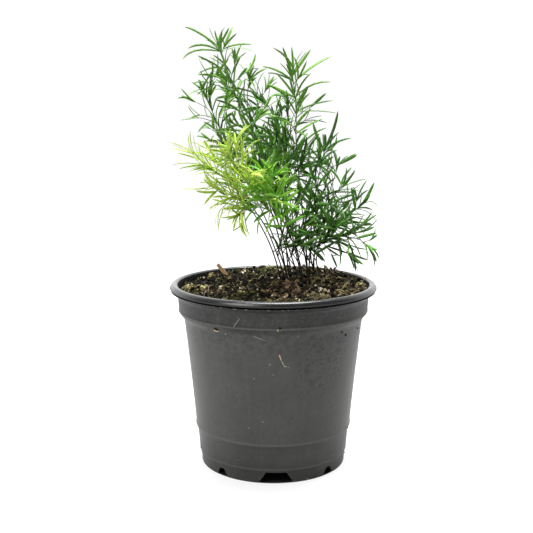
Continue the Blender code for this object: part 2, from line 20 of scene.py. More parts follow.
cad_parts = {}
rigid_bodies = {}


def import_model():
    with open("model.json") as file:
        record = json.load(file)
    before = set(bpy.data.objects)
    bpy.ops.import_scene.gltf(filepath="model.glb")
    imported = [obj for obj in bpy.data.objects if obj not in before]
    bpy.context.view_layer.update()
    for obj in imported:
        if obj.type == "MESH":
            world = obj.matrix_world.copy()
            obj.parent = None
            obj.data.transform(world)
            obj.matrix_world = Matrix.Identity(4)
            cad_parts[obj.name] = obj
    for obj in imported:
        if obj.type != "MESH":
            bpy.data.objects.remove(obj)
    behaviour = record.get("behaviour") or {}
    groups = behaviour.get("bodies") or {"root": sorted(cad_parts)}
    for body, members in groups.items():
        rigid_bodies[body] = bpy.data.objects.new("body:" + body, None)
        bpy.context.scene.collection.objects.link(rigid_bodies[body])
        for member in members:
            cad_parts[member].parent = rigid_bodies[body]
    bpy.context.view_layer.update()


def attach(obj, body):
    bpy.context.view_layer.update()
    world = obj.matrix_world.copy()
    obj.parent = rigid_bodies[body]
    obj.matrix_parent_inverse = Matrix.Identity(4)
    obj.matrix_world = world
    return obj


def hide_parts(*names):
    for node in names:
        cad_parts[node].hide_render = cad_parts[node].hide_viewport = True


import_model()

LOG = logging.getLogger("potted_fern")
MM = 0.001
UP = np.array([0.0, 0.0, 1.0])
GOLDEN_ANGLE = math.radians(137.5)
Array = np.ndarray
BMesh = bmesh.types.BMesh
Colour = tuple[float, float, float]
Generator = np.random.Generator
Material = bpy.types.Material
Mesh = bpy.types.Mesh
Socket = bpy.types.NodeSocket
Thing = bpy.types.Object
Tree = bpy.types.NodeTree


@dataclass(frozen=True)
class Port:
    """A named input or output of a node tree."""

    name: str
    kind: str = "Float"
    value: object = None


class Wiring:
    """Adds nodes to one tree and links them."""

    def __init__(self, tree: Tree) -> None:
        """Keeps the tree that the nodes go into."""
        self.tree = tree

    def give(self, socket: Socket, value: object) -> None:
        """Links a socket to another one, or sets its value.

        Args:
            socket: The input to feed.
            value: An output socket, or a plain value.
        """
        if isinstance(value, bpy.types.NodeSocket):
            self.tree.links.new(value, socket)
        elif socket.type == "RGBA" and len(value) == 3:
            socket.default_value = (*value, 1.0)
        else:
            socket.default_value = value

    def add(self, kind: str, values: dict | None = None, **settings: object) -> bpy.types.Node:
        """Adds a node.

        Args:
            kind: The node's type name.
            values: What its inputs get, by name or by place.
            settings: The node's own settings.

        Returns:
            The new node.
        """
        node = self.tree.nodes.new(kind)
        for name, value in settings.items():
            setattr(node, name, value)
        for key, value in (values or {}).items():
            self.give(node.inputs[key], value)
        return node

    def make(self, kind: str, values: dict | None = None, **settings: object) -> Socket:
        """The first output of a new node."""
        return self.add(kind, values, **settings).outputs[0]

    def maths(self, operation: str, *values: object) -> Socket:
        """The result of an arithmetic node on the values."""
        return self.make("ShaderNodeMath", dict(enumerate(values)), operation=operation)

    def product(self, *values: object) -> Socket:
        """The product of one or more values.

        Args:
            *values: Sockets or numbers.

        Returns:
            The product.
        """
        result = values[0]
        for value in values[1:]:
            result = self.maths("MULTIPLY", result, value)
        return result

    def line(self, value: object, slope: object, start: object) -> Socket:
        """A value times a slope, plus a start."""
        return self.maths("MULTIPLY_ADD", value, slope, start)

    def vector(self, x: object = 0.0, y: object = 0.0, z: object = 0.0) -> Socket:
        """A vector of three values."""
        return self.make("ShaderNodeCombineXYZ", {0: x, 1: y, 2: z})

    def parts(self, vector: object) -> Sequence[Socket]:
        """A vector's three components."""
        return self.add("ShaderNodeSeparateXYZ", {0: vector}).outputs

    def scaled(self, vector: object, scale: Sequence[float]) -> Socket:
        """A vector with each of its components multiplied."""
        return self.make("ShaderNodeVectorMath", {0: vector, 1: tuple(scale)}, operation="MULTIPLY")

    def smoothed(
        self, value: object, low: object, high: object, to_low: float = 0, to_high: float = 1
    ) -> Socket:
        """A value moved smoothly from a range that may be sockets to another."""
        values = {"Value": value, "From Min": low, "From Max": high, "To Min": to_low, "To Max": to_high}
        return self.make("ShaderNodeMapRange", values, interpolation_type="SMOOTHSTEP")

    def fit(self, value: object, low: float, high: float, to_low: float = 0, to_high: float = 1) -> Socket:
        """A value moved smoothly from one range to another.

        Args:
            value: The socket to read.
            low: Where the result is to_low.
            high: Where the result is to_high. It may be less than low.
            to_low: The result at low.
            to_high: The result at high.

        Returns:
            The fitted value's socket.
        """
        if low > high:
            return self.smoothed(value, high, low, to_high, to_low)
        return self.smoothed(value, low, high, to_low, to_high)

    def band(self, value: object, low: float, full_from: float, full_to: float, high: float) -> Socket:
        """A mask that is one within a band of a value and fades out on both sides of it."""
        return self.product(self.fit(value, low, full_from), self.fit(value, high, full_to))

    def noise(self, vector: object, scale: object, detail: float, roughness: float) -> Socket:
        """A noise texture's value at a vector."""
        values = {"Vector": vector, "Scale": scale, "Detail": detail, "Roughness": roughness}
        return self.make("ShaderNodeTexNoise", values)

    def mix(self, share: object, first: object, second: object) -> Socket:
        """A colour between two, by a share."""
        return self.add("ShaderNodeMix", {0: share, 6: first, 7: second}, data_type="RGBA").outputs[2]

    def named(self, name: object, kind: str = "FLOAT") -> Socket:
        """A stored attribute's value, in a geometry tree."""
        return self.make("GeometryNodeInputNamedAttribute", {"Name": name}, data_type=kind)

    def store(
        self, geometry: Socket, name: str, value: Socket, kind: str = "FLOAT", on: str = "POINT"
    ) -> Socket:
        """Stores an attribute on a geometry.

        Args:
            geometry: The geometry's socket.
            name: The attribute's name.
            value: Its value.
            kind: Its data type.
            on: What carries it.

        Returns:
            The geometry with the attribute.
        """
        values = {"Geometry": geometry, "Name": name, "Value": value}
        return self.make("GeometryNodeStoreNamedAttribute", values, data_type=kind, domain=on)

    def realized(self, geometry: Socket) -> Socket:
        """A geometry whose instances are made real."""
        return self.make("GeometryNodeRealizeInstances", {0: geometry})

    def clothed(self, geometry: Socket, material: Socket) -> Socket:
        """A geometry with a material."""
        return self.make("GeometryNodeSetMaterial", {"Geometry": geometry, "Material": material})

    def joined(self, *geometries: Socket) -> Socket:
        """Several geometries as one.

        Args:
            *geometries: The geometries.

        Returns:
            The joined geometry.
        """
        both = self.add("GeometryNodeJoinGeometry")
        for geometry in geometries:
            self.tree.links.new(geometry, both.inputs[0])
        return both.outputs[0]


def open_tree(name: str, kind: str, inputs: Iterable[Port], outputs: Iterable[Port]) -> tuple:
    """Starts a node tree with named inputs and outputs.

    Args:
        name: The tree's name.
        kind: Shader or Geometry.
        inputs: Its inputs.
        outputs: Its outputs.

    Returns:
        The tree's wiring, its input node's outputs and its output node's inputs.
    """
    tree = bpy.data.node_groups.new(name, f"{kind}NodeTree")
    for side, ports in (("INPUT", inputs), ("OUTPUT", outputs)):
        for port in ports:
            made = tree.interface.new_socket(port.name, in_out=side, socket_type=f"NodeSocket{port.kind}")
            if port.value is not None:
                made.default_value = port.value
    wiring = Wiring(tree)
    return wiring, wiring.add("NodeGroupInput").outputs, wiring.add("NodeGroupOutput").inputs


class Effects:
    """The shader node groups that several finishes share. Each is built once."""

    def __init__(self) -> None:
        """Builds the groups."""
        self.patches = self.build_patches()
        self.flecks = self.build_flecks()
        self.relief = self.build_relief()
        self.unrolled = self.build_unrolled()

    def start(self, name: str, values: dict[str, float], *outputs: Port) -> tuple:
        """Starts a group whose inputs are coordinates and some numbers."""
        ports = [Port("Vector", "Vector"), *(Port(key, value=value) for key, value in values.items())]
        return open_tree(name, "Shader", ports, outputs)

    def build_patches(self) -> Tree:
        """Cloudy patches: a mask that is one where a noise passes High and nought where it is below Low.

        Returns:
            The group's tree.
        """
        values = {"Scale": 30.0, "Low": 0.4, "High": 0.7}
        wiring, given, result = self.start("cloudy_patches", values, Port("Mask"))
        cloud = wiring.noise(given["Vector"], given["Scale"], 4.0, 0.55)
        wiring.give(result["Mask"], wiring.smoothed(cloud, given["Low"], given["High"]))
        return wiring.tree

    def build_flecks(self) -> Tree:
        """Scattered flecks: round spots of a size, on a share of the cells of a grid.

        Returns:
            The group's tree.
        """
        values = {"Scale": 200.0, "Size": 0.3, "Share": 0.1}
        wiring, given, result = self.start("scattered_flecks", values, Port("Mask"))
        cells = wiring.add("ShaderNodeTexVoronoi", {"Vector": given["Vector"], "Scale": given["Scale"]})
        draw = wiring.add("ShaderNodeSeparateColor", {0: cells.outputs["Color"]}).outputs
        chosen = wiring.maths("LESS_THAN", draw[0], given["Share"])
        spot_size = wiring.product(given["Size"], wiring.maths("ADD", draw[1], 0.4))
        spot = wiring.maths("SUBTRACT", spot_size, cells.outputs["Distance"])
        wiring.give(result["Mask"], wiring.product(chosen, wiring.fit(spot, 0.0, 0.1)))
        return wiring.tree

    def build_relief(self) -> Tree:
        """Fine relief: a rough height that mixes broad lumps with fine grit.

        Returns:
            The group's tree.
        """
        wiring, given, result = self.start("fine_relief", {"Scale": 300.0, "Grit": 0.5}, Port("Height"))
        lumps = wiring.noise(given["Vector"], given["Scale"], 5.0, 0.6)
        grit = wiring.noise(given["Vector"], wiring.product(given["Scale"], 4.3), 3.0, 0.7)
        wiring.give(result["Height"], wiring.line(grit, given["Grit"], lumps))
        return wiring.tree

    def build_unrolled(self) -> Tree:
        """Round the pot: the angle from the front, the height, and both as a flat sheet's coordinates.

        Returns:
            The group's tree.
        """
        results = (Port("Arc"), Port("Height"), Port("Sheet", "Vector"))
        wiring, given, result = self.start("round_the_pot", {"Radius": 0.07}, *results)
        x, y, z = wiring.parts(given["Vector"])
        arc = wiring.maths("ARCTAN2", x, wiring.product(y, -1.0))
        wiring.give(result["Arc"], arc)
        wiring.give(result["Height"], z)
        wiring.give(result["Sheet"], wiring.vector(wiring.product(arc, given["Radius"]), 0.0, z))
        return wiring.tree


class Finish:
    """A material under way: its wiring, its Principled shader and its colour so far."""

    def __init__(self, effects: Effects, name: str, roughness: float, shine: float = 0.5) -> None:
        """Starts a material.

        Args:
            effects: The effects that the finishes share.
            name: The material's name.
            roughness: The shader's roughness where nothing varies it.
            shine: The shader's specular level.
        """
        self.effects = effects
        self.material = bpy.data.materials.new(name)
        self.material.use_nodes = True
        self.wiring = Wiring(self.material.node_tree)
        self.shader = self.material.node_tree.nodes["Principled BSDF"]
        self.shader.inputs["Roughness"].default_value = roughness
        self.shader.inputs["Specular IOR Level"].default_value = shine
        self.place = self.wiring.add("ShaderNodeTexCoord").outputs["Object"]
        self.body: object = None

    def effect(self, tree: Tree, vector: object = None, **values: float) -> Socket | Sequence[Socket]:
        """Places a shared effect with its own values.

        Args:
            tree: The effect's node group.
            vector: Its coordinates, or None for the object's.
            values: Its other inputs.

        Returns:
            The effect's outputs, or the only one that it has.
        """
        inputs = {"Vector": self.place if vector is None else vector, **values}
        outputs = self.wiring.add("ShaderNodeGroup", inputs, node_tree=tree).outputs
        return outputs[0] if len(outputs) == 1 else outputs

    def cloudy(self, scale: float, low: float, high: float, vector: object = None) -> Socket:
        """The mask of cloudy patches."""
        return self.effect(self.effects.patches, vector, Scale=scale, Low=low, High=high)

    def flecked(self, scale: float, size: float, share: float, vector: object = None) -> Socket:
        """The mask of scattered flecks."""
        return self.effect(self.effects.flecks, vector, Scale=scale, Size=size, Share=share)

    def relief(self, scale: float, grit: float, vector: object = None) -> Socket:
        """The height of a fine relief."""
        return self.effect(self.effects.relief, vector, Scale=scale, Grit=grit)

    def attribute(self, name: str, output: str = "Fac") -> Socket:
        """A stored attribute of the mesh."""
        return self.wiring.add("ShaderNodeAttribute", attribute_name=name).outputs[output]

    def tinge(self, colour: object, *masks: object) -> None:
        """Mixes a colour over the one so far, by the product of the masks."""
        self.body = self.wiring.mix(self.wiring.product(*masks), self.body, colour)

    def darker(self, value: float) -> Socket:
        """The colour so far at a share of its brightness."""
        return self.wiring.make("ShaderNodeHueSaturation", {"Value": value, "Color": self.body})

    def end(self, rough: object, height: Socket, strength: float, depth: float) -> Material:
        """Feeds the shader and gives the material.

        Args:
            rough: The roughness, or None where it is the same all over.
            height: The height that the normal follows.
            strength: How strong the bump is.
            depth: How deep it is in millimetres.

        Returns:
            The finished material.
        """
        values = {"Strength": strength, "Distance": depth * MM, "Height": height}
        fed = {"Base Color": self.body, "Normal": self.wiring.make("ShaderNodeBump", values)}
        if rough is not None:
            fed["Roughness"] = rough
        for key, value in fed.items():
            self.wiring.give(self.shader.inputs[key], value)
        return self.material


@dataclass(frozen=True)
class PotPlastic:
    """Dark grey moulded plastic, dusty on the lip's ledge, with water marks on its right. Painted shade
    darkens the collar, the lip and the body just under the collar; painted highlights lighten the beads, the
    lip's bulge and the crest, which is also rubbed.

    A band is where it starts, where it is full from and to, and where it ends: heights in metres, or angles
    from the front in radians.
    """

    name: str = "pot_plastic"
    lip: Colour = (0.012, 0.0125, 0.0125)
    collar: Colour = (0.022, 0.023, 0.021)
    body: Colour = (0.071, 0.074, 0.068)
    worn_and_highlight: Colour = (0.15, 0.151, 0.14)
    dust: Colour = (0.5, 0.47, 0.41)
    damp_and_shade: Colour = (0.026, 0.027, 0.026)
    haze: float = 0.22
    haze_roughness: float = 0.4
    roughness: float = 0.34
    upper_part: tuple = (0.0945, 0.117)
    collar_start: tuple = (0.1185, 0.1235)
    lip_start: tuple = (0.1385, 0.1405)
    crest_start: tuple = (0.1456, 0.14595)
    splash_end: tuple = (0.009, 0.001)
    bead_highlights: tuple = (
        (0.1239, 0.1244, 0.1252, 0.1257), (0.0305, 0.031, 0.0323, 0.0328), (0.0102, 0.0107, 0.0111, 0.0116),
    )
    wet_heights: tuple = (0.06, 0.08, 0.115, 0.121)
    wet_angles: tuple = (0.16, 0.34, 0.86, 1.12)
    dusty_angles: tuple = (-1.5, -0.9, -0.02, 0.5)
    ledge: tuple = (0.1394, 0.1401, 0.1409, 0.14125)
    film: tuple = (0.1391, 0.1396, 0.1399, 0.1403)
    groove: tuple = (0.1404, 0.1408, 0.1416, 0.142)
    gleam: tuple = (0.142, 0.1424, 0.1429, 0.1434)

    def material(self, effects: Effects) -> Material:
        """Builds the material of the pot's outer side.

        Args:
            effects: The shared groups of effects.

        Returns:
            The material.
        """
        finish = Finish(effects, self.name, self.roughness)
        wiring = finish.wiring
        arc, height, sheet = finish.effect(effects.unrolled)
        cloudy = finish.cloudy(34.0, 0.35, 0.75)
        streaks = finish.cloudy(260.0, 0.45, 0.8, wiring.scaled(sheet, (1.0, 1.0, 0.07)))
        blotches = finish.cloudy(210.0, 0.4, 0.62, sheet)
        upper = wiring.fit(height, *self.upper_part)
        finish.body = self.body
        # Painted shade: the collar under the lip is much darker than the body.
        finish.tinge(self.collar, wiring.fit(height, *self.collar_start))
        finish.tinge(self.worn_and_highlight, cloudy, 0.3)
        finish.tinge(self.worn_and_highlight, finish.cloudy(620.0, 0.44, 0.7), wiring.line(upper, 0.3, 0.1))
        finish.tinge(self.worn_and_highlight, streaks, 0.18)
        finish.tinge(self.damp_and_shade, blotches, wiring.line(upper, 0.34, 0.14))
        # Painted shade: the body just under the collar is darker towards it.
        finish.tinge(self.damp_and_shade, upper, 0.14)
        wet = wiring.product(wiring.band(arc, *self.wet_angles), wiring.band(height, *self.wet_heights))
        wide_drops = finish.flecked(210.0, 0.5, 0.5, sheet)
        small_drops = finish.flecked(430.0, 0.5, 0.45, sheet)
        drops = wiring.product(wiring.maths("MAXIMUM", wide_drops, small_drops), wet)
        finish.tinge(self.damp_and_shade, drops, 0.55)
        # Painted shade: the lip is darker than the body.
        lip = wiring.fit(height, *self.lip_start)
        finish.tinge(self.lip, lip)
        # Painted highlights: the beads and the lip's outer bulge are lighter.
        for bead_highlight in self.bead_highlights:
            finish.tinge(self.worn_and_highlight, wiring.band(height, *bead_highlight), 0.5)
        finish.tinge(self.worn_and_highlight, wiring.band(height, *self.gleam), 0.2)
        settled = wiring.line(wiring.band(arc, *self.dusty_angles), 0.8, 0.12)
        dirt = wiring.product(finish.flecked(330.0, 0.2, 0.05, sheet), 0.4)
        for mask in (
            wiring.product(wiring.fit(height, *self.splash_end), finish.cloudy(420.0, 0.6, 0.74, sheet), 0.5),
            wiring.product(wiring.band(height, *self.ledge), settled, finish.cloudy(420.0, 0.5, 0.62, sheet)),
            wiring.product(wiring.band(height, *self.film), 0.14),
        ):
            dirt = wiring.maths("MAXIMUM", dirt, mask)
        # The crest is lighter: rubbed wear and a painted highlight.
        rubbed_and_highlight = wiring.line(finish.cloudy(300.0, 0.2, 0.7, sheet), 0.3, 0.05)
        finish.tinge(self.worn_and_highlight, wiring.fit(height, *self.crest_start), rubbed_and_highlight)
        finish.tinge(self.dust, dirt)
        rough = wiring.line(lip, -0.14, wiring.line(cloudy, 0.1, self.roughness))
        rough = wiring.maths("MAXIMUM", wiring.band(height, *self.groove), rough)
        rough = wiring.line(dirt, 0.35, wiring.line(drops, -0.12, rough))
        finish.shader.inputs["Sheen Roughness"].default_value = self.haze_roughness
        finish.shader.inputs["Sheen Weight"].default_value = self.haze
        return finish.end(rough, wiring.line(dirt, 0.8, finish.relief(420.0, 0.6)), 0.26, 0.35)


@dataclass(frozen=True)
class PotInside:
    """The pot's inner side and underside, painted near black as shade, with soil stains."""

    black: Colour = (0.004, 0.004, 0.0035)
    stain: Colour = (0.02, 0.017, 0.012)

    def material(self, effects: Effects) -> Material:
        """Builds the material.

        Args:
            effects: The shared groups of effects.

        Returns:
            The material.
        """
        finish = Finish(effects, "pot_inside", 0.8, 0.06)
        # Painted shade: the inner side is near black.
        finish.body = self.black
        finish.tinge(self.stain, finish.cloudy(260.0, 0.5, 0.8))
        return finish.end(None, finish.relief(420.0, 0.6), 0.3, 0.35)


@dataclass(frozen=True)
class PeatMix:
    """Dark damp peat with brown and olive bits. The mesh's tint says which way each place leans."""

    dark: Colour = (0.004, 0.0035, 0.002)
    brown: Colour = (0.045, 0.033, 0.014)
    fleck: Colour = (0.3, 0.24, 0.1)

    def material(self, effects: Effects) -> Material:
        """Builds the material.

        Args:
            effects: The shared groups of effects.

        Returns:
            The material.
        """
        finish = Finish(effects, "peat_mix", 0.85, 0.12)
        finish.body = self.dark
        finish.tinge(finish.attribute("tint", "Color"), finish.cloudy(230.0, 0.36, 0.66), 0.7)
        finish.tinge(self.brown, finish.cloudy(900.0, 0.42, 0.68), 0.45)
        finish.tinge(self.fleck, finish.flecked(950.0, 0.34, 0.06), 0.7)
        # Painted shade: the peat goes towards black in the bed's hollows.
        finish.body = finish.wiring.mix(
            finish.wiring.fit(finish.attribute("hollow"), 0.2, 1.0), finish.body, self.dark
        )
        rough = finish.wiring.line(finish.cloudy(120.0, 0.5, 0.7), -0.35, 0.92)
        return finish.end(rough, finish.relief(480.0, 0.7), 1.0, 1.1)


@dataclass(frozen=True)
class TintedBit:
    """A small loose thing whose own tint is stored on it: a crumb, a chip, a fibre or a bit of moss."""

    name: str
    roughness: float = 0.85
    contrast: float = 0.45
    scale: float = 900.0
    depth: float = 0.5
    shaded: Colour = (0.003, 0.0025, 0.0015)

    def material(self, effects: Effects) -> Material:
        """Builds the material.

        Args:
            effects: The shared groups of effects.

        Returns:
            The material.
        """
        finish = Finish(effects, self.name, self.roughness, 0.18)
        finish.body = finish.attribute("tint", "Color")
        lumps = finish.cloudy(self.scale, 0.35, 0.7)
        finish.tinge(finish.darker(0.35), lumps, self.contrast)
        finish.tinge(self.shaded, finish.attribute("hollow"))
        rough = finish.wiring.line(lumps, 0.12, self.roughness - 0.06)
        return finish.end(rough, finish.relief(self.scale, 0.5), 0.6, self.depth)


@dataclass(frozen=True)
class PerliteGrain:
    """White foamed mineral with small pits and a trace of soil."""

    white: Colour = (0.94, 0.92, 0.82)
    shade: Colour = (0.6, 0.54, 0.38)

    def material(self, effects: Effects) -> Material:
        """Builds the material.

        Args:
            effects: The shared groups of effects.

        Returns:
            The material.
        """
        finish = Finish(effects, "perlite_grain", 0.8)
        pits = finish.flecked(1500.0, 0.5, 0.4)
        stain = finish.cloudy(420.0, 0.55, 0.8)
        finish.body = self.white
        finish.tinge(self.shade, stain, 0.7)
        finish.tinge(self.shade, pits, 0.5)
        pitted = finish.wiring.maths("SUBTRACT", finish.relief(900.0, 0.4), pits)
        return finish.end(finish.wiring.line(stain, 0.1, 0.78), pitted, 0.7, 0.4)


@dataclass(frozen=True)
class SplinterWood:
    """Dry pale wood with its grain along the splinter."""

    grain_turn: tuple[float, float, float]
    pale: Colour = (0.5, 0.34, 0.17)
    dark: Colour = (0.22, 0.12, 0.05)

    def material(self, effects: Effects) -> Material:
        """Builds the material.

        Args:
            effects: The shared groups of effects.

        Returns:
            The material.
        """
        finish = Finish(effects, "splinter_wood", 0.75)
        wiring = finish.wiring
        turned = wiring.make("ShaderNodeMapping", {"Vector": finish.place, "Rotation": self.grain_turn})
        lengthways = wiring.scaled(turned, (1.0, 1.0, 0.07))
        grain = finish.cloudy(1500.0, 0.4, 0.68, lengthways)
        finish.body = self.pale
        finish.tinge(self.dark, grain, 0.55)
        finish.tinge(self.dark, finish.cloudy(500.0, 0.4, 0.75, lengthways), 0.3)
        finish.tinge(self.dark, finish.cloudy(160.0, 0.5, 0.75), 0.4)
        return finish.end(wiring.line(grain, 0.15, 0.68), finish.relief(1200.0, 0.3, lengthways), 0.7, 0.3)


@dataclass(frozen=True)
class LeafSkin:
    """A narrow leaf's satin skin: a pale midrib, a yellowed margin where the leaf is pale, and fine veins."""

    yellow: Colour = (0.84, 0.98, 0.2)
    midrib: Colour = (0.16, 0.4, 0.06)
    dry: Colour = (0.4, 0.38, 0.1)
    roughness: float = 0.5

    def material(self, effects: Effects) -> Material:
        """Builds the material from the tint, pale, along and across that each leaf carries.

        Args:
            effects: The shared groups of effects.

        Returns:
            The material.
        """
        finish = Finish(effects, "leaf_skin", self.roughness, 0.26)
        wiring = finish.wiring
        finish.body = finish.attribute("tint", "Color")
        along = finish.attribute("along")
        across = wiring.maths("ABSOLUTE", finish.attribute("across"))
        mottled = finish.cloudy(320.0, 0.35, 0.7)
        finish.tinge(finish.darker(0.62), mottled, 0.55)
        finish.tinge(self.midrib, wiring.fit(across, 0.3, 0.08), 0.25)
        margin = wiring.line(wiring.fit(across, 0.2, 0.75), 0.65, 0.3)
        finish.tinge(self.yellow, finish.attribute("pale"), margin)
        finish.tinge(self.dry, wiring.fit(along, 0.93, 1.0), 0.6)
        veins = wiring.vector(wiring.product(across, 5.0), wiring.product(along, 0.8))
        rough = wiring.line(mottled, 0.14, self.roughness - 0.05)
        return finish.end(rough, finish.relief(3.0, 0.3, veins), 0.35, 0.15)


@dataclass(frozen=True)
class StemBark:
    """A wiry stem's skin, from dark brown at the soil to green above, as its tint says."""

    dark: Colour = (0.012, 0.01, 0.007)

    def material(self, effects: Effects) -> Material:
        """Builds the material.

        Args:
            effects: The shared groups of effects.

        Returns:
            The material.
        """
        finish = Finish(effects, "stem_bark", 0.5, 0.3)
        lengthways = finish.wiring.scaled(finish.place, (1.0, 1.0, 0.15))
        ridges = finish.cloudy(1300.0, 0.4, 0.7, lengthways)
        finish.body = finish.attribute("tint", "Color")
        finish.tinge(self.dark, ridges, 0.4)
        finish.tinge(self.dark, finish.cloudy(190.0, 0.5, 0.72), 0.35)
        rough = finish.wiring.line(ridges, 0.15, 0.45)
        return finish.end(rough, finish.relief(1500.0, 0.3, lengthways), 0.4, 0.12)


@dataclass(frozen=True)
class StudioWhite:
    """The floor's plain white paper, which looks white, with a near-black painted shadow where the pot covers
    it.
    """

    white: Colour = (0.34, 0.34, 0.34)
    faint: Colour = (0.32, 0.32, 0.32)
    painted_shadow: Colour = (0.012, 0.012, 0.012)
    glow: float = 0.72
    covered_radius: float = 0.0575
    fade: float = 0.0015

    def material(self, effects: Effects) -> Material:
        """Builds the material.

        Args:
            effects: The shared groups of effects.

        Returns:
            The material.
        """
        finish = Finish(effects, "studio_white", 0.9)
        wiring = finish.wiring
        flat = wiring.scaled(finish.place, (1.0, 1.0, 0.0))
        away = wiring.add("ShaderNodeVectorMath", {0: flat}, operation="LENGTH").outputs["Value"]
        clear = wiring.fit(away, self.covered_radius, self.covered_radius + self.fade)
        finish.body = self.white
        finish.tinge(self.faint, finish.cloudy(3.0, 0.3, 0.8), 0.1)
        # Painted shadow: the floor under the pot is near black and does not glow.
        finish.body = wiring.mix(clear, self.painted_shadow, finish.body)
        seen = wiring.add("ShaderNodeLightPath").outputs["Is Camera Ray"]
        wiring.give(finish.shader.inputs["Emission Color"], (1.0, 1.0, 1.0))
        wiring.give(finish.shader.inputs["Emission Strength"], wiring.product(seen, clear, self.glow))
        return finish.end(None, finish.relief(700.0, 0.4), 0.05, 0.1)


def link(name: str, mesh: Mesh) -> Thing:
    """Makes an object of a mesh and puts it in the scene.

    Args:
        name: The object's name.
        mesh: Its data.

    Returns:
        The object.
    """
    made = bpy.data.objects.new(name, mesh)
    bpy.context.scene.collection.objects.link(made)
    return made


def closed(name: str, shape: BMesh) -> Mesh:
    """The mesh of a bmesh whose faces are first turned outwards. The bmesh is freed.

    Args:
        name: The mesh's name.
        shape: The bmesh.

    Returns:
        The mesh.
    """
    bmesh.ops.recalc_face_normals(shape, faces=shape.faces)
    mesh = bpy.data.meshes.new(name)
    shape.to_mesh(mesh)
    shape.free()
    return mesh


def dress(piece: Thing, *finishes: Material, sharp: float | None = None) -> None:
    """Gives a piece its finishes in place of any others, and smooths it.

    Args:
        piece: The piece.
        finishes: Its materials.
        sharp: The angle in degrees from which its edges stay sharp, where they do.
    """
    piece.data.materials.clear()
    for finish in finishes:
        piece.data.materials.append(finish)
    piece.data.shade_smooth()
    if sharp is not None:
        piece.data.set_sharp_from_angle(angle=math.radians(sharp))


def lathe(name: str, profile: Sequence[tuple[float, float]], segments: int) -> Mesh:
    """Turns a profile that runs from the axis back to the axis.

    Args:
        name: The mesh's name.
        profile: Radii and heights in millimetres.
        segments: How many sides the turned shape has.

    Returns:
        The turned mesh, closed and with its faces outwards.
    """
    shape = bmesh.new()
    turns = np.linspace(0, 2 * math.pi, segments, endpoint=False)
    rings = []
    for radius, height in profile:
        places = [(radius * math.cos(turn), radius * math.sin(turn), height) for turn in turns]
        rings.append([shape.verts.new(Vector(place) * MM) for place in (places if radius else places[:1])])
    for lower, upper in zip(rings[:-1], rings[1:]):
        for k in range(segments):
            around = [lower[k % len(lower)], lower[(k + 1) % len(lower)]]
            around += [upper[(k + 1) % len(upper)], upper[k % len(upper)]]
            shape.faces.new(dict.fromkeys(around))
    return closed(name, shape)


def grow(thing: Thing, tree: Tree, values: dict[str, object]) -> Thing:
    """Runs a geometry tree on an object and keeps the result as its plain mesh.

    Args:
        thing: The object whose mesh goes in.
        tree: The geometry tree.
        values: The tree's inputs by name.

    Returns:
        The same object, with its new mesh and no modifier.
    """
    modifier = thing.modifiers.new("grown", "NODES")
    modifier.node_group = tree
    names = {item.name: item.identifier for item in tree.interface.items_tree if item.in_out == "INPUT"}
    for name, value in values.items():
        modifier[names[name]] = value
    graph = bpy.context.evaluated_depsgraph_get()
    graph.update()
    grown = thing.evaluated_get(graph)
    mesh = bpy.data.meshes.new_from_object(grown, preserve_all_data_layers=True, depsgraph=graph)
    thing.modifiers.clear()
    old = thing.data
    thing.data = mesh
    bpy.data.meshes.remove(old)
    mesh.name = thing.name
    return thing


def settle(piece: Thing, slot: str, *nodes: str) -> Thing:
    """Makes a piece ride on the part, hides the part's nodes that it stands for, and reports it.

    Args:
        piece: The object.
        slot: Not used.
        *nodes: The part's nodes that it replaces.

    Returns:
        The same object.
    """
    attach(piece, "root")
    if nodes:
        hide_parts(*nodes)
    piece.data.calc_loop_triangles()
    LOG.info("%s: %d triangles", piece.name, len(piece.data.loop_triangles))
    return piece


def paint(mesh: Mesh, tints: Array) -> None:
    """Stores a tint at each point of a mesh, of one colour for all the points or one for each.

    Args:
        mesh: The mesh.
        tints: One tint, or a row of them.
    """
    count = len(mesh.vertices)
    layer = mesh.attributes.new("tint", "FLOAT_COLOR", "POINT")
    values = np.ones((count, 4), np.float32)
    values[:, :3] = tints
    layer.data.foreach_set("color", values.ravel())


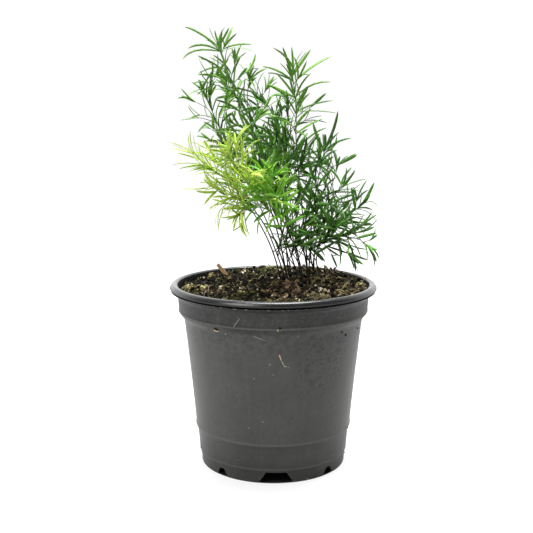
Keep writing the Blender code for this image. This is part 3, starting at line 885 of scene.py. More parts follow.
@dataclass
class Pot:
    """The nursery pot: a turned wall with a rolled, grooved lip, and a foot with notches and drain holes."""

    lip: tuple = (
        (74.5, 138.0), (74.9, 141.0), (75.6, 143.6), (76.6, 145.1), (77.8, 145.8), (79.0, 146.0),
        (80.3, 145.7), (81.4, 144.9), (82.05, 143.8), (82.35, 143.2), (82.5, 142.8), (82.5, 142.3),
        (82.3, 142.0), (81.5, 141.8), (81.1, 141.6), (81.1, 141.2), (81.5, 141.0), (81.8, 140.8),
        (81.75, 140.5), (81.2, 140.1), (80.0, 139.4), (78.6, 138.5), (77.4, 137.4), (76.6, 136.3),
    )
    wall: tuple = (
        (76.25, 135.0), (76.05, 132.0), (75.8, 128.5), (75.65, 126.0), (75.85, 125.3), (75.85, 124.6),
        (75.5, 123.9), (74.9, 123.0), (74.0, 121.9), (73.0, 120.7), (72.2, 119.5), (71.7, 118.3),
        (71.3, 116.5), (70.7, 112.5), (70.2, 107.5), (69.55, 102.6), (68.85, 95.0), (68.1, 88.4),
        (66.7, 75.0), (65.35, 61.5), (64.05, 47.9), (62.9, 34.4), (62.9, 33.2), (63.15, 32.4),
        (63.15, 31.4), (62.8, 30.3), (62.1, 29.2), (61.6, 27.9), (60.7, 20.4), (60.05, 12.6),
        (59.85, 11.6), (60.05, 11.0), (60.0, 10.4), (59.4, 9.6), (58.95, 6.4), (58.3, 0.0),
    )
    thickness: float = 1.25
    floor_top: float = 11.7
    floor_underside: float = 10.5
    floor_radius: float = 57.7
    foot_inner: float = 57.0
    segments: int = 192
    notch_pairs: int = 4
    notch_turn: float = 2.0
    notch_sizes: tuple = (("Wide", 28.0, 15.8, 8.8), ("Narrow", 12.8, 4.6, 6.2))
    notch_depth: float = 9.0
    drain_radius: float = 4.5
    drain_ring: float = 46.0
    drain_length: float = 4.0
    rim_from: float = 120.7
    crest_from: float = 145.5
    groove: tuple[float, float] = (140.5, 141.7)
    sharp_from: float = 38.0

    def radius_at(self, height: float) -> float:
        """The outer wall's radius at a height."""
        radii, heights = zip(*reversed(self.wall))
        return float(np.interp(height, heights, radii))

    def inner_wall(self) -> list[tuple[float, float]]:
        """The wall's inner side from the floor up.

        Returns:
            Radius and height of each corner.
        """
        inner = [(radius - self.thickness, height) for radius, height in self.wall]
        above = (point for point in reversed(inner) if point[1] > self.floor_top + 1)
        return [(self.floor_radius, self.floor_top), *above]

    def foot_tree(self) -> Tree:
        """The geometry tree that cuts the notches, wide and narrow in turn, and the drain hole behind each.

        Returns:
            The tree.
        """
        sizes = {
            "Depth": self.notch_depth, "Foot radius": self.wall[-1][0], "Drain radius": self.drain_radius,
            "Drain ring": self.drain_ring,
        }
        for label, foot_width, top_width, rise in self.notch_sizes:
            sizes |= {f"{label} foot": foot_width, f"{label} top": top_width, f"{label} height": rise}
        ports = [Port("Pot", "Geometry"), Port("Pairs", "Int", self.notch_pairs)]
        ports.append(Port("Turn", value=math.radians(self.notch_turn)))
        ports += [Port(name, value=size * MM) for name, size in sizes.items()]
        wiring, given, result = open_tree("notched_foot", "Geometry", ports, [Port("Pot", "Geometry")])
        x, y, z = wiring.parts(wiring.make("GeometryNodeInputPosition"))
        upper = wiring.maths("GREATER_THAN", z, 0.0)
        post_sizes = {"Vertices": 24, "Radius": given["Drain radius"], "Depth": self.drain_length * MM}
        post = wiring.add("GeometryNodeMeshCylinder", post_sizes).outputs["Mesh"]
        middle = (self.floor_top + self.floor_underside) / 2 * MM
        spot = wiring.vector(0.0, wiring.product(given["Drain ring"], -1.0), middle)
        drain = wiring.make("GeometryNodeTransform", {"Geometry": post, "Translation": spot})
        step = wiring.maths("DIVIDE", 2 * math.pi, given["Pairs"])
        cut = wiring.add("GeometryNodeMeshBoolean", {0: given["Pot"]}, operation="DIFFERENCE", solver="EXACT")
        for number, (label, *_) in enumerate(self.notch_sizes):
            slope = wiring.maths("SUBTRACT", given[f"{label} top"], given[f"{label} foot"])
            width = wiring.line(upper, slope, given[f"{label} foot"])
            rise = wiring.maths("ADD", given[f"{label} height"], MM)
            outward = wiring.maths("SUBTRACT", wiring.product(y, given["Depth"]), given["Foot radius"])
            moved = wiring.vector(wiring.product(x, width), outward, wiring.line(upper, rise, -MM))
            cube = wiring.add("GeometryNodeMeshCube").outputs["Mesh"]
            wedge = wiring.make("GeometryNodeSetPosition", {"Geometry": cube, "Position": moved})
            share = wiring.maths("ADD", wiring.make("GeometryNodeInputIndex"), 0.5 * number)
            ring = {
                "Points": wiring.make("GeometryNodePoints", {"Count": given["Pairs"]}),
                "Instance": wiring.joined(wedge, drain),
                "Rotation": wiring.vector(z=wiring.line(share, step, given["Turn"])),
            }
            cutters = wiring.realized(wiring.make("GeometryNodeInstanceOnPoints", ring))
            wiring.tree.links.new(cutters, cut.inputs[1])
        wiring.give(result["Pot"], wiring.realized(cut.outputs[0]))
        return wiring.tree

    def share_faces(self, mesh: Mesh) -> None:
        """Gives the inner side, the underside and the lip's groove one finish, whose near black is painted
        shade in the groove, and the collar and lip another.

        Args:
            mesh: The pot's mesh.
        """
        groove_from, groove_to = self.groove
        for face in mesh.polygons:
            x, y, z = face.center / MM
            edge = self.lip[-1][0] + 0.3 if z > self.lip[-1][1] - 0.3 else self.radius_at(z) - 0.9
            inner = math.hypot(x, y) < edge and z < self.crest_from
            outer = 2 if z > self.rim_from else 0
            # The groove under the lip takes the near-black inside finish as painted shade.
            face.material_index = 1 if inner or groove_from < z < groove_to else outer

    def build(self, *finishes: Material) -> Thing:
        """Builds the pot.

        Args:
            finishes: The finish of its body, that of its inner side, and that of its collar and lip.

        Returns:
            The pot's object.
        """
        profile = [(0.0, self.floor_top), *self.inner_wall(), *self.lip, *self.wall, (self.foot_inner, 0.0)]
        profile += [(self.foot_inner, self.floor_underside), (0.0, self.floor_underside)]
        pot = grow(link("nursery_pot", lathe("nursery_pot", profile, self.segments)), self.foot_tree(), {})
        dress(pot, *finishes, sharp=self.sharp_from)
        self.share_faces(pot.data)
        return settle(pot, "pot_plastic", "pot")


def soil_height(x: float, y: float) -> float:
    """The soil's height, as in the part: it rises to the back and right, with mounds and a hollow.

    Args:
        x: The place to the right, in millimetres.
        y: The place to the back, in millimetres.

    Returns:
        The height in millimetres.
    """
    slope = 141.2 + 0.035 * x + 0.05 * y
    crown = 4.0 * math.exp(-((x - 18) ** 2 + (y - 6) ** 2) / 800)
    rear = 3.0 * math.exp(-((x - 31) ** 2 + (y - 36) ** 2) / 288)
    hollow = -5.0 * math.exp(-((x + 31) ** 2 + (y - 10) ** 2) / 242)
    return slope + crown + rear + hollow


@dataclass(frozen=True)
class Clump:
    """A coloured lump or patch of the soil's surface, in millimetres."""

    x: float
    y: float
    radius: float
    rise: float
    tint: Colour


OLIVE = (0.09, 0.1, 0.025)
TAN = (0.78, 0.58, 0.32)
RUST = (0.66, 0.38, 0.24)
CREAM = (0.9, 0.84, 0.4)
BLACK = (0.004, 0.0035, 0.002)
BROWN = (0.03, 0.024, 0.011)
UMBER = (0.12, 0.09, 0.04)
LIME = (0.5, 0.55, 0.15)

CLUMPS = tuple(
    Clump(*row)
    for row in (
        (-19, 12, 5.0, 1.6, TAN), (-9, 5, 6.0, 1.8, (0.72, 0.6, 0.3)),
        (2, -3, 6.0, 1.6, (0.6, 0.5, 0.24)), (1, -15, 5.0, 1.2, RUST), (13, -10, 7.0, 2.0, RUST),
        (20, -22, 6.0, 1.4, (0.85, 0.56, 0.36)), (7, -32, 7.0, 1.0, (0.75, 0.48, 0.3)),
        (-70, 8, 4.0, 1.2, CREAM), (-60, 1, 5.0, 1.4, CREAM), (-49, -14, 8.0, 0.6, (0.14, 0.12, 0.05)),
        (-35, 8, 10.0, -1.6, BLACK), (-25, 22, 8.0, -1.6, BLACK), (-46, 22, 10.0, -0.8, BLACK),
        (-24, -24, 7.0, 1.0, OLIVE), (-38, -38, 10.0, 0.8, (0.1, 0.1, 0.03)),
        (-10, -48, 11.0, 0.9, (0.2, 0.17, 0.07)), (-14, 46, 9.0, 0.8, (0.22, 0.22, 0.06)),
        (-1, 61, 8.0, 0.6, LIME), (16, 20, 12.0, 0.4, (0.1, 0.08, 0.035)),
        (34, -2, 9.0, 1.0, (0.5, 0.4, 0.2)), (44, 10, 8.0, 0.6, (0.34, 0.27, 0.12)),
        (55, -14, 9.0, 0.8, (0.75, 0.6, 0.32)), (70, -8, 6.0, 0.5, (0.7, 0.58, 0.32)),
        (36, -34, 8.0, 0.9, (0.6, 0.5, 0.26)), (58, 22, 10.0, 0.4, UMBER),
        (28, -54, 10.0, 0.8, (0.3, 0.22, 0.1)), (0, -64, 9.0, 0.6, (0.2, 0.18, 0.06)),
        (30, 58, 12.0, 0.6, BROWN),
    )
)


def tube_mesh(shape: BMesh, line: Array, radii: Sequence[float], sides: int = 4) -> None:
    """Adds a closed tube along a line to a bmesh.

    Args:
        shape: The bmesh that the tube goes into.
        line: The points that it follows, in millimetres.
        radii: Its radius at each point, in millimetres.
        sides: How many sides it has.
    """
    rings = []
    guide = np.array([0.31, 0.17, 0.93])
    for i, place in enumerate(line):
        run = unit(line[min(i + 1, len(line) - 1)] - line[max(i - 1, 0)])
        side = unit(np.cross(run, guide))
        other = np.cross(run, side)
        ring = []
        for k in range(sides):
            turn = 2 * math.pi * k / sides
            point = place + radii[i] * (side * math.cos(turn) + other * math.sin(turn))
            ring.append(shape.verts.new(point * MM))
        rings.append(ring)
    for lower, upper in zip(rings[:-1], rings[1:]):
        for k in range(sides):
            shape.faces.new((lower[k], lower[(k + 1) % sides], upper[(k + 1) % sides], upper[k]))
    shape.faces.new(rings[0])
    shape.faces.new(rings[-1])


class Bits:
    """The small shapes that are scattered over the soil, each kind in a few seeded variants."""

    lumps = {"crumb": (2, 0.75, 0.7), "grit": (1, 0.8, 0.45), "grain": (3, 0.85, 0.35)}

    def __init__(self, seed: int) -> None:
        """Keeps the seeded draw."""
        self.draw = np.random.default_rng(seed)

    def shape(self, kind: str) -> Mesh:
        """One more shape of a kind."""
        plain = {"chip": self.chip, "fibre": self.fibre, "tuft": self.tuft}
        return plain[kind]() if kind in plain else self.lump(*self.lumps[kind])

    def lump(self, detail: int, squash: float, ragged: float) -> Mesh:
        """A ragged lump about one millimetre across.

        Args:
            detail: How finely it is divided.
            squash: Its height as a share of its width.
            ragged: How far its points stray.

        Returns:
            The lump's mesh.
        """
        shape = bmesh.new()
        bmesh.ops.create_icosphere(shape, subdivisions=detail, radius=0.5 * MM)
        stretch = self.draw.uniform(0.75, 1.3, 3) * np.array([1.0, 1.0, squash])
        shift = Vector(self.draw.uniform(0, 50, 3))
        for point in shape.verts:
            wave = noise.noise(point.co / MM * 2.6 + shift) + 0.5 * noise.noise(point.co / MM * 6.0 + shift)
            point.co *= 1.0 + ragged * wave
            point.co = Vector(a * b for a, b in zip(point.co, stretch))
        return closed("lump", shape)

    def chip(self) -> Mesh:
        """A flat angular chip of bark about one millimetre long.

        Returns:
            The chip's mesh.
        """
        shape = bmesh.new()
        bmesh.ops.create_cube(shape, size=1.0)
        bmesh.ops.subdivide_edges(shape, edges=shape.edges, cuts=1, use_grid_fill=True)
        size = Vector((1.0, self.draw.uniform(0.35, 0.6), self.draw.uniform(0.12, 0.22))) * MM
        for point in shape.verts:
            stray = Vector(self.draw.uniform(-0.11, 0.11, 3))
            point.co = Vector(a * b for a, b in zip(point.co + stray, size))
        return closed("chip", shape)

    def fibre(self) -> Mesh:
        """A curly strand about one millimetre long.

        Returns:
            The strand's mesh.
        """
        shape = bmesh.new()
        share = np.linspace(-0.5, 0.5, 8)
        bend = self.draw.uniform(-0.3, 0.3, 3)
        waves = self.draw.uniform(2.0, 6.0, 2)
        line = np.stack([
            share,
            bend[0] * (0.25 - share**2) * 2 + 0.05 * np.sin(share * waves[0]),
            bend[1] * (0.25 - share**2) * 0.5 + 0.03 * np.sin(share * waves[1]) + 0.04,
        ], axis=1)
        tube_mesh(shape, line, np.linspace(0.055, 0.02, 8), 3)
        return closed("fibre", shape)

    def tuft(self) -> Mesh:
        """A tuft of a dozen tiny moss leaves about one millimetre across.

        Returns:
            The tuft's mesh.
        """
        shape = bmesh.new()
        for _ in range(12):
            turn = self.draw.uniform(0, 2 * math.pi)
            lean = self.draw.uniform(0.2, 1.1)
            out = np.array([math.sin(lean) * math.cos(turn), math.sin(lean) * math.sin(turn), math.cos(lean)])
            root = np.array([*self.draw.uniform(-0.2, 0.2, 2), -0.1])
            size = self.draw.uniform(0.4, 0.8)
            line = np.array([root, root + out * size * 0.5, root + out * size + np.array([0, 0, -0.05])])
            tube_mesh(shape, line, (0.05, 0.08, 0.01), 3)
        return closed("tuft", shape)


def scatter_tree() -> Tree:
    """The geometry tree that strews pieces over the soil, each with a turn, a size and a tint of its own.

    Returns:
        The tree.
    """
    ports = [
        Port("Bed", "Geometry"), Port("Pieces", "Collection"), Port("Spacing", value=0.001),
        Port("Density", value=1000.0), Port("Seed", "Int", 1), Port("Smallest", value=1.0),
        Port("Largest", value=2.0), Port("Tilt", value=0.5), Port("Lift", value=0.0),
        Port("First tint", "Color"), Port("Second tint", "Color"), Port("Local", value=0.5),
        Port("Finish", "Material"), Port("Where", "String", "loose"),
    ]
    wiring, given, result = open_tree("strewn_bits", "Geometry", ports, [Port("Bits", "Geometry")])

    def chance(seed: int, low: object = 0.0, high: object = 1.0) -> Socket:
        """A random number between two for each piece."""
        values = {2: low, 3: high, "Seed": wiring.maths("ADD", given["Seed"], float(seed))}
        return wiring.add("FunctionNodeRandomValue", values, data_type="FLOAT").outputs[1]

    strewing = {
        "Mesh": given["Bed"], "Distance Min": given["Spacing"], "Density Max": given["Density"],
        "Density Factor": wiring.named(given["Where"]), "Seed": given["Seed"],
    }
    points = wiring.make("GeometryNodeDistributePointsOnFaces", strewing, distribute_method="POISSON")
    tilt = given["Tilt"]
    opposite = wiring.product(tilt, -1.0)
    spread = wiring.maths("SUBTRACT", given["Largest"], given["Smallest"])
    size = wiring.line(wiring.maths("POWER", chance(14), 2.2), spread, given["Smallest"])
    pick = {4: 0, 5: 99, "Seed": wiring.maths("ADD", given["Seed"], 15.0)}
    placing = {
        "Points": points,
        "Instance": wiring.make("GeometryNodeCollectionInfo", {0: given["Pieces"], 1: True, 2: True}),
        "Pick Instance": True,
        "Instance Index": wiring.add("FunctionNodeRandomValue", pick, data_type="INT").outputs[2],
        "Rotation": wiring.vector(
            chance(11, opposite, tilt), chance(12, opposite, tilt), chance(13, 0.0, 2 * math.pi)
        ),
        "Scale": wiring.vector(size, size, size),
    }
    lifting = {
        "Instances": wiring.make("GeometryNodeInstanceOnPoints", placing),
        "Translation": wiring.vector(z=wiring.product(given["Lift"], size, MM)), "Local Space": False,
    }
    lifted = wiring.make("GeometryNodeTranslateInstances", lifting)
    own = wiring.mix(wiring.fit(chance(16), 0.45, 0.88), given["First tint"], given["Second tint"])
    lighter = wiring.fit(chance(17), 0.4, 0.85, 0.05, 1.5)
    grey = wiring.vector(lighter, lighter, lighter)
    below = {0: 1.0, 6: wiring.named("tint", "FLOAT_COLOR"), 7: grey}
    shaded = wiring.add("ShaderNodeMix", below, data_type="RGBA", blend_type="MULTIPLY").outputs[2]
    local = wiring.product(given["Local"], wiring.maths("GREATER_THAN", chance(18), 0.3))
    tinted = wiring.store(lifted, "tint", wiring.mix(local, own, shaded), "FLOAT_COLOR", "INSTANCE")
    # Painted shade: each bit is darker on its sides that face down and where it lies in a hollow of the bed.
    rise = wiring.parts(wiring.make("GeometryNodeInputNormal"))[2]
    exposed = wiring.fit(wiring.named("hollow"), 1.0, 0.0, 0.35, 1.0)
    lit_side = wiring.product(wiring.fit(rise, -0.4, 0.45), exposed)
    hollow = wiring.maths("SUBTRACT", 1.0, lit_side)
    shaded_bits = wiring.store(wiring.realized(tinted), "hollow", hollow)
    wiring.give(result["Bits"], wiring.clothed(shaded_bits, given["Finish"]))
    return wiring.tree


# Patches of the soil where more lies: the centre's place and the radius of each.
BEDS = {
    "pearly": ((39, -24, 8.0), (47, -14, 5.0), (-16, 56, 7.0), (-43, 30, 4.0), (-14, 0, 3.0)),
    "frayed": ((12, -16, 11.0), (18, -28, 8.0), (56, -14, 8.0), (-48, -14, 7.0)),
}


@dataclass(frozen=True)
class Strewing:
    """One kind of bit that lies on the soil, and how it is strewn. Sizes are in millimetres."""

    name: str
    kind: str
    spacing: float
    density: float
    smallest: float
    largest: float
    first: Colour
    second: Colour
    tilt: float = 0.5
    lift: float = 0.0
    local: float = 0.6
    slot: str = "soil_mix"
    where: str = "loose"


STREWINGS = (
    Strewing("peat_crumbs", "crumb", 1.75, 100000.0, 1.2, 4.4, BLACK, (0.5, 0.4, 0.17), 1.5, 0.2, 0.7),
    Strewing(
        "fine_crumbs", "grit", 0.95, 170000.0, 0.5, 1.7,
        (0.008, 0.007, 0.003), (0.95, 0.84, 0.44), 1.5, 0.32, 0.35,
    ),
    Strewing(
        "bark_chips", "chip", 5.0, 9000.0, 1.6, 5.0,
        (0.02, 0.015, 0.007), (0.9, 0.7, 0.42), 0.9, 0.28, 0.4,
    ),
    Strewing(
        "coir_fibres", "fibre", 1.9, 34000.0, 3.0, 9.0,
        (0.03, 0.025, 0.01), (0.85, 0.7, 0.4), 0.8, 0.22, 0.3,
    ),
    Strewing(
        "moss_tufts", "tuft", 5.0, 7000.0, 1.4, 3.6,
        (0.016, 0.022, 0.006), (0.6, 0.66, 0.2), 0.4, 0.15, 0.4,
    ),
    Strewing(
        "fine_perlite", "grain", 9.0, 2300.0, 0.7, 2.4, (0.85, 0.84, 0.78), (0.62, 0.58, 0.4), 1.5, 0.25, 0.0,
        "perlite",
    ),
    Strewing(
        "pale_grains", "grain", 2.6, 60000.0, 1.2, 3.4, (0.9, 0.88, 0.72), (0.8, 0.72, 0.36), 1.5, 0.3, 0.0,
        "perlite", "pearly",
    ),
    Strewing(
        "frayed_coir", "fibre", 1.0, 160000.0, 3.0, 8.0,
        (0.3, 0.16, 0.09), (0.95, 0.72, 0.52), 1.1, 0.34, 0.0,
        "soil_mix", "frayed",
    ),
)


@dataclass
class SoilBed:
    """The peat mix: an uneven bed with lumps, and the crumbs, chips, fibres, moss and fine perlite on it."""

    pot: Pot
    gap: float = 0.3
    segments: int = 240
    rings: int = 84
    edge_height: float = 138.0
    blank_height: float = 150.0
    waves: tuple = (("Clod", 2.6, 62.0), ("Lump", 2.6, 190.0), ("Crumb", 1.4, 620.0))
    dip: float = 0.7
    peak: float = 0.9
    base_weight: float = 0.22
    kinds: tuple = (("crumb", 5), ("grit", 4), ("chip", 5), ("fibre", 7), ("tuft", 4), ("grain", 4))

    def surface(self, x: float, y: float) -> tuple[float, Array]:
        """The bed's height before the crumbling, and its tint.

        Args:
            x: The place across.
            y: The place in depth.

        Returns:
            The height and the tint, both with the clumps.
        """
        height = soil_height(x, y)
        weight = self.base_weight
        total = np.array(BROWN) * weight
        for clump in CLUMPS:
            share = math.exp(-((x - clump.x) ** 2 + (y - clump.y) ** 2) / clump.radius**2)
            height += clump.rise * share
            total += np.array(clump.tint) * share
            weight += share
        return height, total / weight

    def looseness(self, x: float, y: float, edge: float) -> dict[str, float]:
        """How freely bits lie at a place: everywhere that is clear of the wall and the grains, and in beds.

        Args:
            x: The place across.
            y: The place in depth.
            edge: The bed's radius.

        Returns:
            The shares by name, from nought to one.
        """
        free = min(1.0, max(0.0, (edge + 0.6 - math.hypot(x, y)) / 3.0))
        clear = min(math.hypot(x - across, y - deep) - size * 0.62 for across, deep, size in Grains.places)
        shares = {"loose": free * min(1.0, max(0.0, clear / 0.8))}
        for name, places in BEDS.items():
            value = max(math.exp(-((x - a) ** 2 + (y - b) ** 2) / size**2) for a, b, size in places)
            shares[name] = free * max(0.0, value - 0.3)
        return shares

    def blank(self) -> Thing:
        """The turned bed, with its top raised to the surface, its tint, and how loose each point is.

        Returns:
            The bed's object.
        """
        side = [(radius - self.gap, height) for radius, height in self.pot.inner_wall()]
        side = [place for place in side if place[1] < self.edge_height]
        side[0] = (side[0][0], self.pot.floor_top + self.gap)
        edge = side[-1][0]
        profile = [(edge * k / self.rings, self.blank_height) for k in range(self.rings + 1)]
        profile += [*reversed(side), (0.0, side[0][1])]
        bed = link("soil_bed", lathe("soil_bed", profile, self.segments))
        layers = {name: bed.data.attributes.new(name, "FLOAT", "POINT") for name in ("loose", *BEDS)}
        tints = np.tile(np.array(BROWN), (len(bed.data.vertices), 1))
        for point in bed.data.vertices:
            x, y, z = point.co / MM
            if z > self.blank_height - 1:
                height, tints[point.index] = self.surface(x, y)
                point.co.z = height * MM
                for name, value in self.looseness(x, y, edge).items():
                    layers[name].data[point.index].value = value
        paint(bed.data, tints)
        return bed

    def crumbling_tree(self) -> Tree:
        """The geometry tree that roughens the bed's top with clods, lumps and crumbs, and marks its hollows
        for painted shade.

        Returns:
            The tree.
        """
        ports = [Port("Bed", "Geometry"), *(Port(name, value=size * MM) for name, size, _ in self.waves)]
        wiring, given, result = open_tree("crumbled_bed", "Geometry", ports, [Port("Bed", "Geometry")])
        place = wiring.make("GeometryNodeInputPosition")
        rise = 0.0
        for name, _, scale in self.waves:
            wave = wiring.maths("SUBTRACT", wiring.noise(place, scale, 3.0, 0.6), 0.5)
            rise = wiring.line(wiring.product(wave, 2.0), given[name], rise)
        marked = wiring.store(given["Bed"], "hollow", wiring.fit(rise, self.peak * MM, -self.dip * MM))
        offset = wiring.vector(z=wiring.product(rise, wiring.named("loose")))
        raised = wiring.make("GeometryNodeSetPosition", {"Geometry": marked, "Offset": offset})
        wiring.give(result["Bed"], raised)
        return wiring.tree

    def shapes(self) -> dict[str, bpy.types.Collection]:
        """The small shapes, as objects in a collection for each kind.

        Returns:
            The collections by kind.
        """
        bits = Bits(71)
        made = {}
        for kind, count in self.kinds:
            made[kind] = bpy.data.collections.new(f"{kind}_shapes")
            for k in range(count):
                made[kind].objects.link(bpy.data.objects.new(f"{kind}_shape_{k + 1}", bits.shape(kind)))
        return made

    def build(self, finishes: dict[str, Material]) -> None:
        """Builds the bed and what is strewn on it.

        Args:
            finishes: The materials by name.
        """
        bed = grow(self.blank(), self.crumbling_tree(), {})
        dress(bed, finishes["peat"])
        tree = scatter_tree()
        shapes = self.shapes()
        for number, kind in enumerate(STREWINGS):
            values = {
                "Pieces": shapes[kind.kind], "Spacing": kind.spacing * MM, "Density": kind.density,
                "Seed": 20 + number, "Smallest": kind.smallest, "Largest": kind.largest, "Tilt": kind.tilt,
                "Lift": kind.lift, "First tint": (*kind.first, 1.0), "Second tint": (*kind.second, 1.0),
                "Local": kind.local, "Where": kind.where, "Finish": finishes[kind.kind],
            }
            settle(grow(link(kind.name, bed.data.copy()), tree, values), kind.slot)
        for group in shapes.values():
            for thing in list(group.objects):
                bpy.data.objects.remove(thing, do_unlink=True)
            bpy.data.collections.remove(group)
        settle(bed, "soil_mix", "soil")


def unit(vector: Array) -> Array:
    """A vector's direction."""
    return vector / max(float(np.linalg.norm(vector)), 1e-9)


def smooth_line(points: Sequence, step: float) -> Array:
    """A Catmull-Rom line through points, as in the part.

    Args:
        points: The places that it passes.
        step: About how far apart its points are.

    Returns:
        The line's points.
    """
    inner = np.asarray(points, float)
    padded = np.vstack([2 * inner[0] - inner[1], inner, 2 * inner[-1] - inner[-2]])
    line = []
    for i in range(1, len(padded) - 2):
        before, start, end, after = padded[i - 1:i + 3]
        pieces = max(1, round(float(np.linalg.norm(end - start)) / step))
        for t in np.arange(pieces) / pieces:
            straight = 2 * start + (end - before) * t
            bend = (2 * before - 5 * start + 4 * end - after) * t**2
            twist = (3 * start - before - 3 * end + after) * t**3
            line.append(0.5 * (straight + bend + twist))
    line.append(inner[-1])
    return np.array(line)


def length_of(line: Array) -> float:
    """A line's length."""
    return float(np.linalg.norm(np.diff(line, axis=0), axis=1).sum())


def along(line: Array, share: float) -> tuple[Array, Array]:
    """The point and the direction at a share of a line's length.

    Args:
        line: Its points, in millimetres.
        share: The share, from nought to one.

    Returns:
        The point and the direction.
    """
    steps = np.linalg.norm(np.diff(line, axis=0), axis=1)
    marks = np.concatenate([[0.0], np.cumsum(steps)])
    at = share * marks[-1]
    i = min(int(np.searchsorted(marks, at, side="right")) - 1, len(steps) - 1)
    part = (at - marks[i]) / steps[i]
    return line[i] + part * (line[i + 1] - line[i]), unit(line[i + 1] - line[i])


def leaning(direction: Array, angle: float, turn: float) -> Array:
    """A direction at an angle from another one, and turned about it.

    Args:
        direction: The direction leaned away from.
        angle: How far it leans, in radians.
        turn: The turn about the first one, in radians.

    Returns:
        The new direction.
    """
    guide = UP if abs(direction[2]) < 0.95 else np.array([1.0, 0.0, 0.0])
    side = unit(np.cross(direction, guide))
    other = np.cross(direction, side)
    around = side * math.cos(turn) + other * math.sin(turn)
    return direction * math.cos(angle) + around * math.sin(angle)


class Space:
    """The straight pieces placed so far, each with its radius and the shoot that it belongs to."""

    side_limit = 81.0
    lowest = 151.0
    highest = 347.0
    clearance = 0.35

    def __init__(self) -> None:
        """Starts with no pieces."""
        self.starts: list[Array] = []
        self.ends: list[Array] = []
        self.radii: list[float] = []
        self.owners: list[str] = []

    def add(self, line: Array, radius: float, owner: str) -> None:
        """Adds a line's pieces for a shoot.

        Args:
            line: Its points, in millimetres.
            radius: Its radius.
            owner: The shoot's name.
        """
        for start, end in zip(line[:-1], line[1:]):
            self.starts.append(start)
            self.ends.append(end)
            self.radii.append(radius)
            self.owners.append(owner)

    def holds(self, point: Array) -> bool:
        """Whether a point is within the room that the foliage keeps to."""
        beside = abs(point[0]) < self.side_limit and abs(point[1]) < self.side_limit
        return bool(beside and self.lowest < point[2] < self.highest)

    def gap(self, start: Array, end: Array, radius: float, owner: str, own: bool = False) -> float:
        """The least gap between a new piece and those of the other shoots, or those of its own.

        Args:
            start: The new piece's start.
            end: Its end.
            radius: Its radius.
            owner: Its shoot.
            own: Whether the shoot's own pieces are meant.

        Returns:
            The gap in millimetres.
        """
        owners = np.array(self.owners)
        chosen = owners == owner if own else owners != owner
        if not chosen.any():
            return math.inf
        starts = np.array(self.starts)[chosen]
        theirs = np.array(self.ends)[chosen] - starts
        ours = end - start
        between = start - starts
        a = ours @ ours
        e = (theirs * theirs).sum(axis=1)
        b = theirs @ ours
        c = between @ ours
        f = (theirs * between).sum(axis=1)
        spread = a * e - b * b
        s = np.where(spread > 1e-9, np.clip((b * f - c * e) / np.maximum(spread, 1e-9), 0, 1), 0)
        t = np.clip((b * s + f) / e, 0, 1)
        s = np.clip((b * t - c) / a, 0, 1)
        apart = (start + s[:, None] * ours) - (starts + t[:, None] * theirs)
        return float((np.linalg.norm(apart, axis=1) - np.array(self.radii)[chosen] - radius).min())

    def has_room(self, line: Array, radius: float, owner: str) -> bool:
        """Whether a line keeps its clearance from the other shoots."""
        pieces = zip(line[:-1], line[1:])
        return all(self.gap(start, end, radius, owner) > self.clearance for start, end in pieces)


class Palette(Enum):
    """A shoot's leaf colours: the lighter one, the deeper one, and how yellow its leaves are."""

    FRESH = ((0.18, 0.43, 0.05), (0.035, 0.14, 0.017), 0.06)
    DEEP = ((0.11, 0.34, 0.034), (0.012, 0.062, 0.007), 0.02)
    BRIGHT = ((0.27, 0.65, 0.045), (0.1, 0.4, 0.025), 0.14)
    YELLOW = ((0.44, 0.7, 0.06), (0.12, 0.34, 0.026), 0.95)


@dataclass
class ShootPlan:
    """One shoot as the part has it: its route from the soil to its tip, and how it branches."""

    name: str
    route: tuple
    leafy_from: float
    reach: float
    blade: float
    whorls: tuple = ()
    sprays: tuple = ()
    palette: Palette = Palette.DEEP
    fullness: float = 1.0


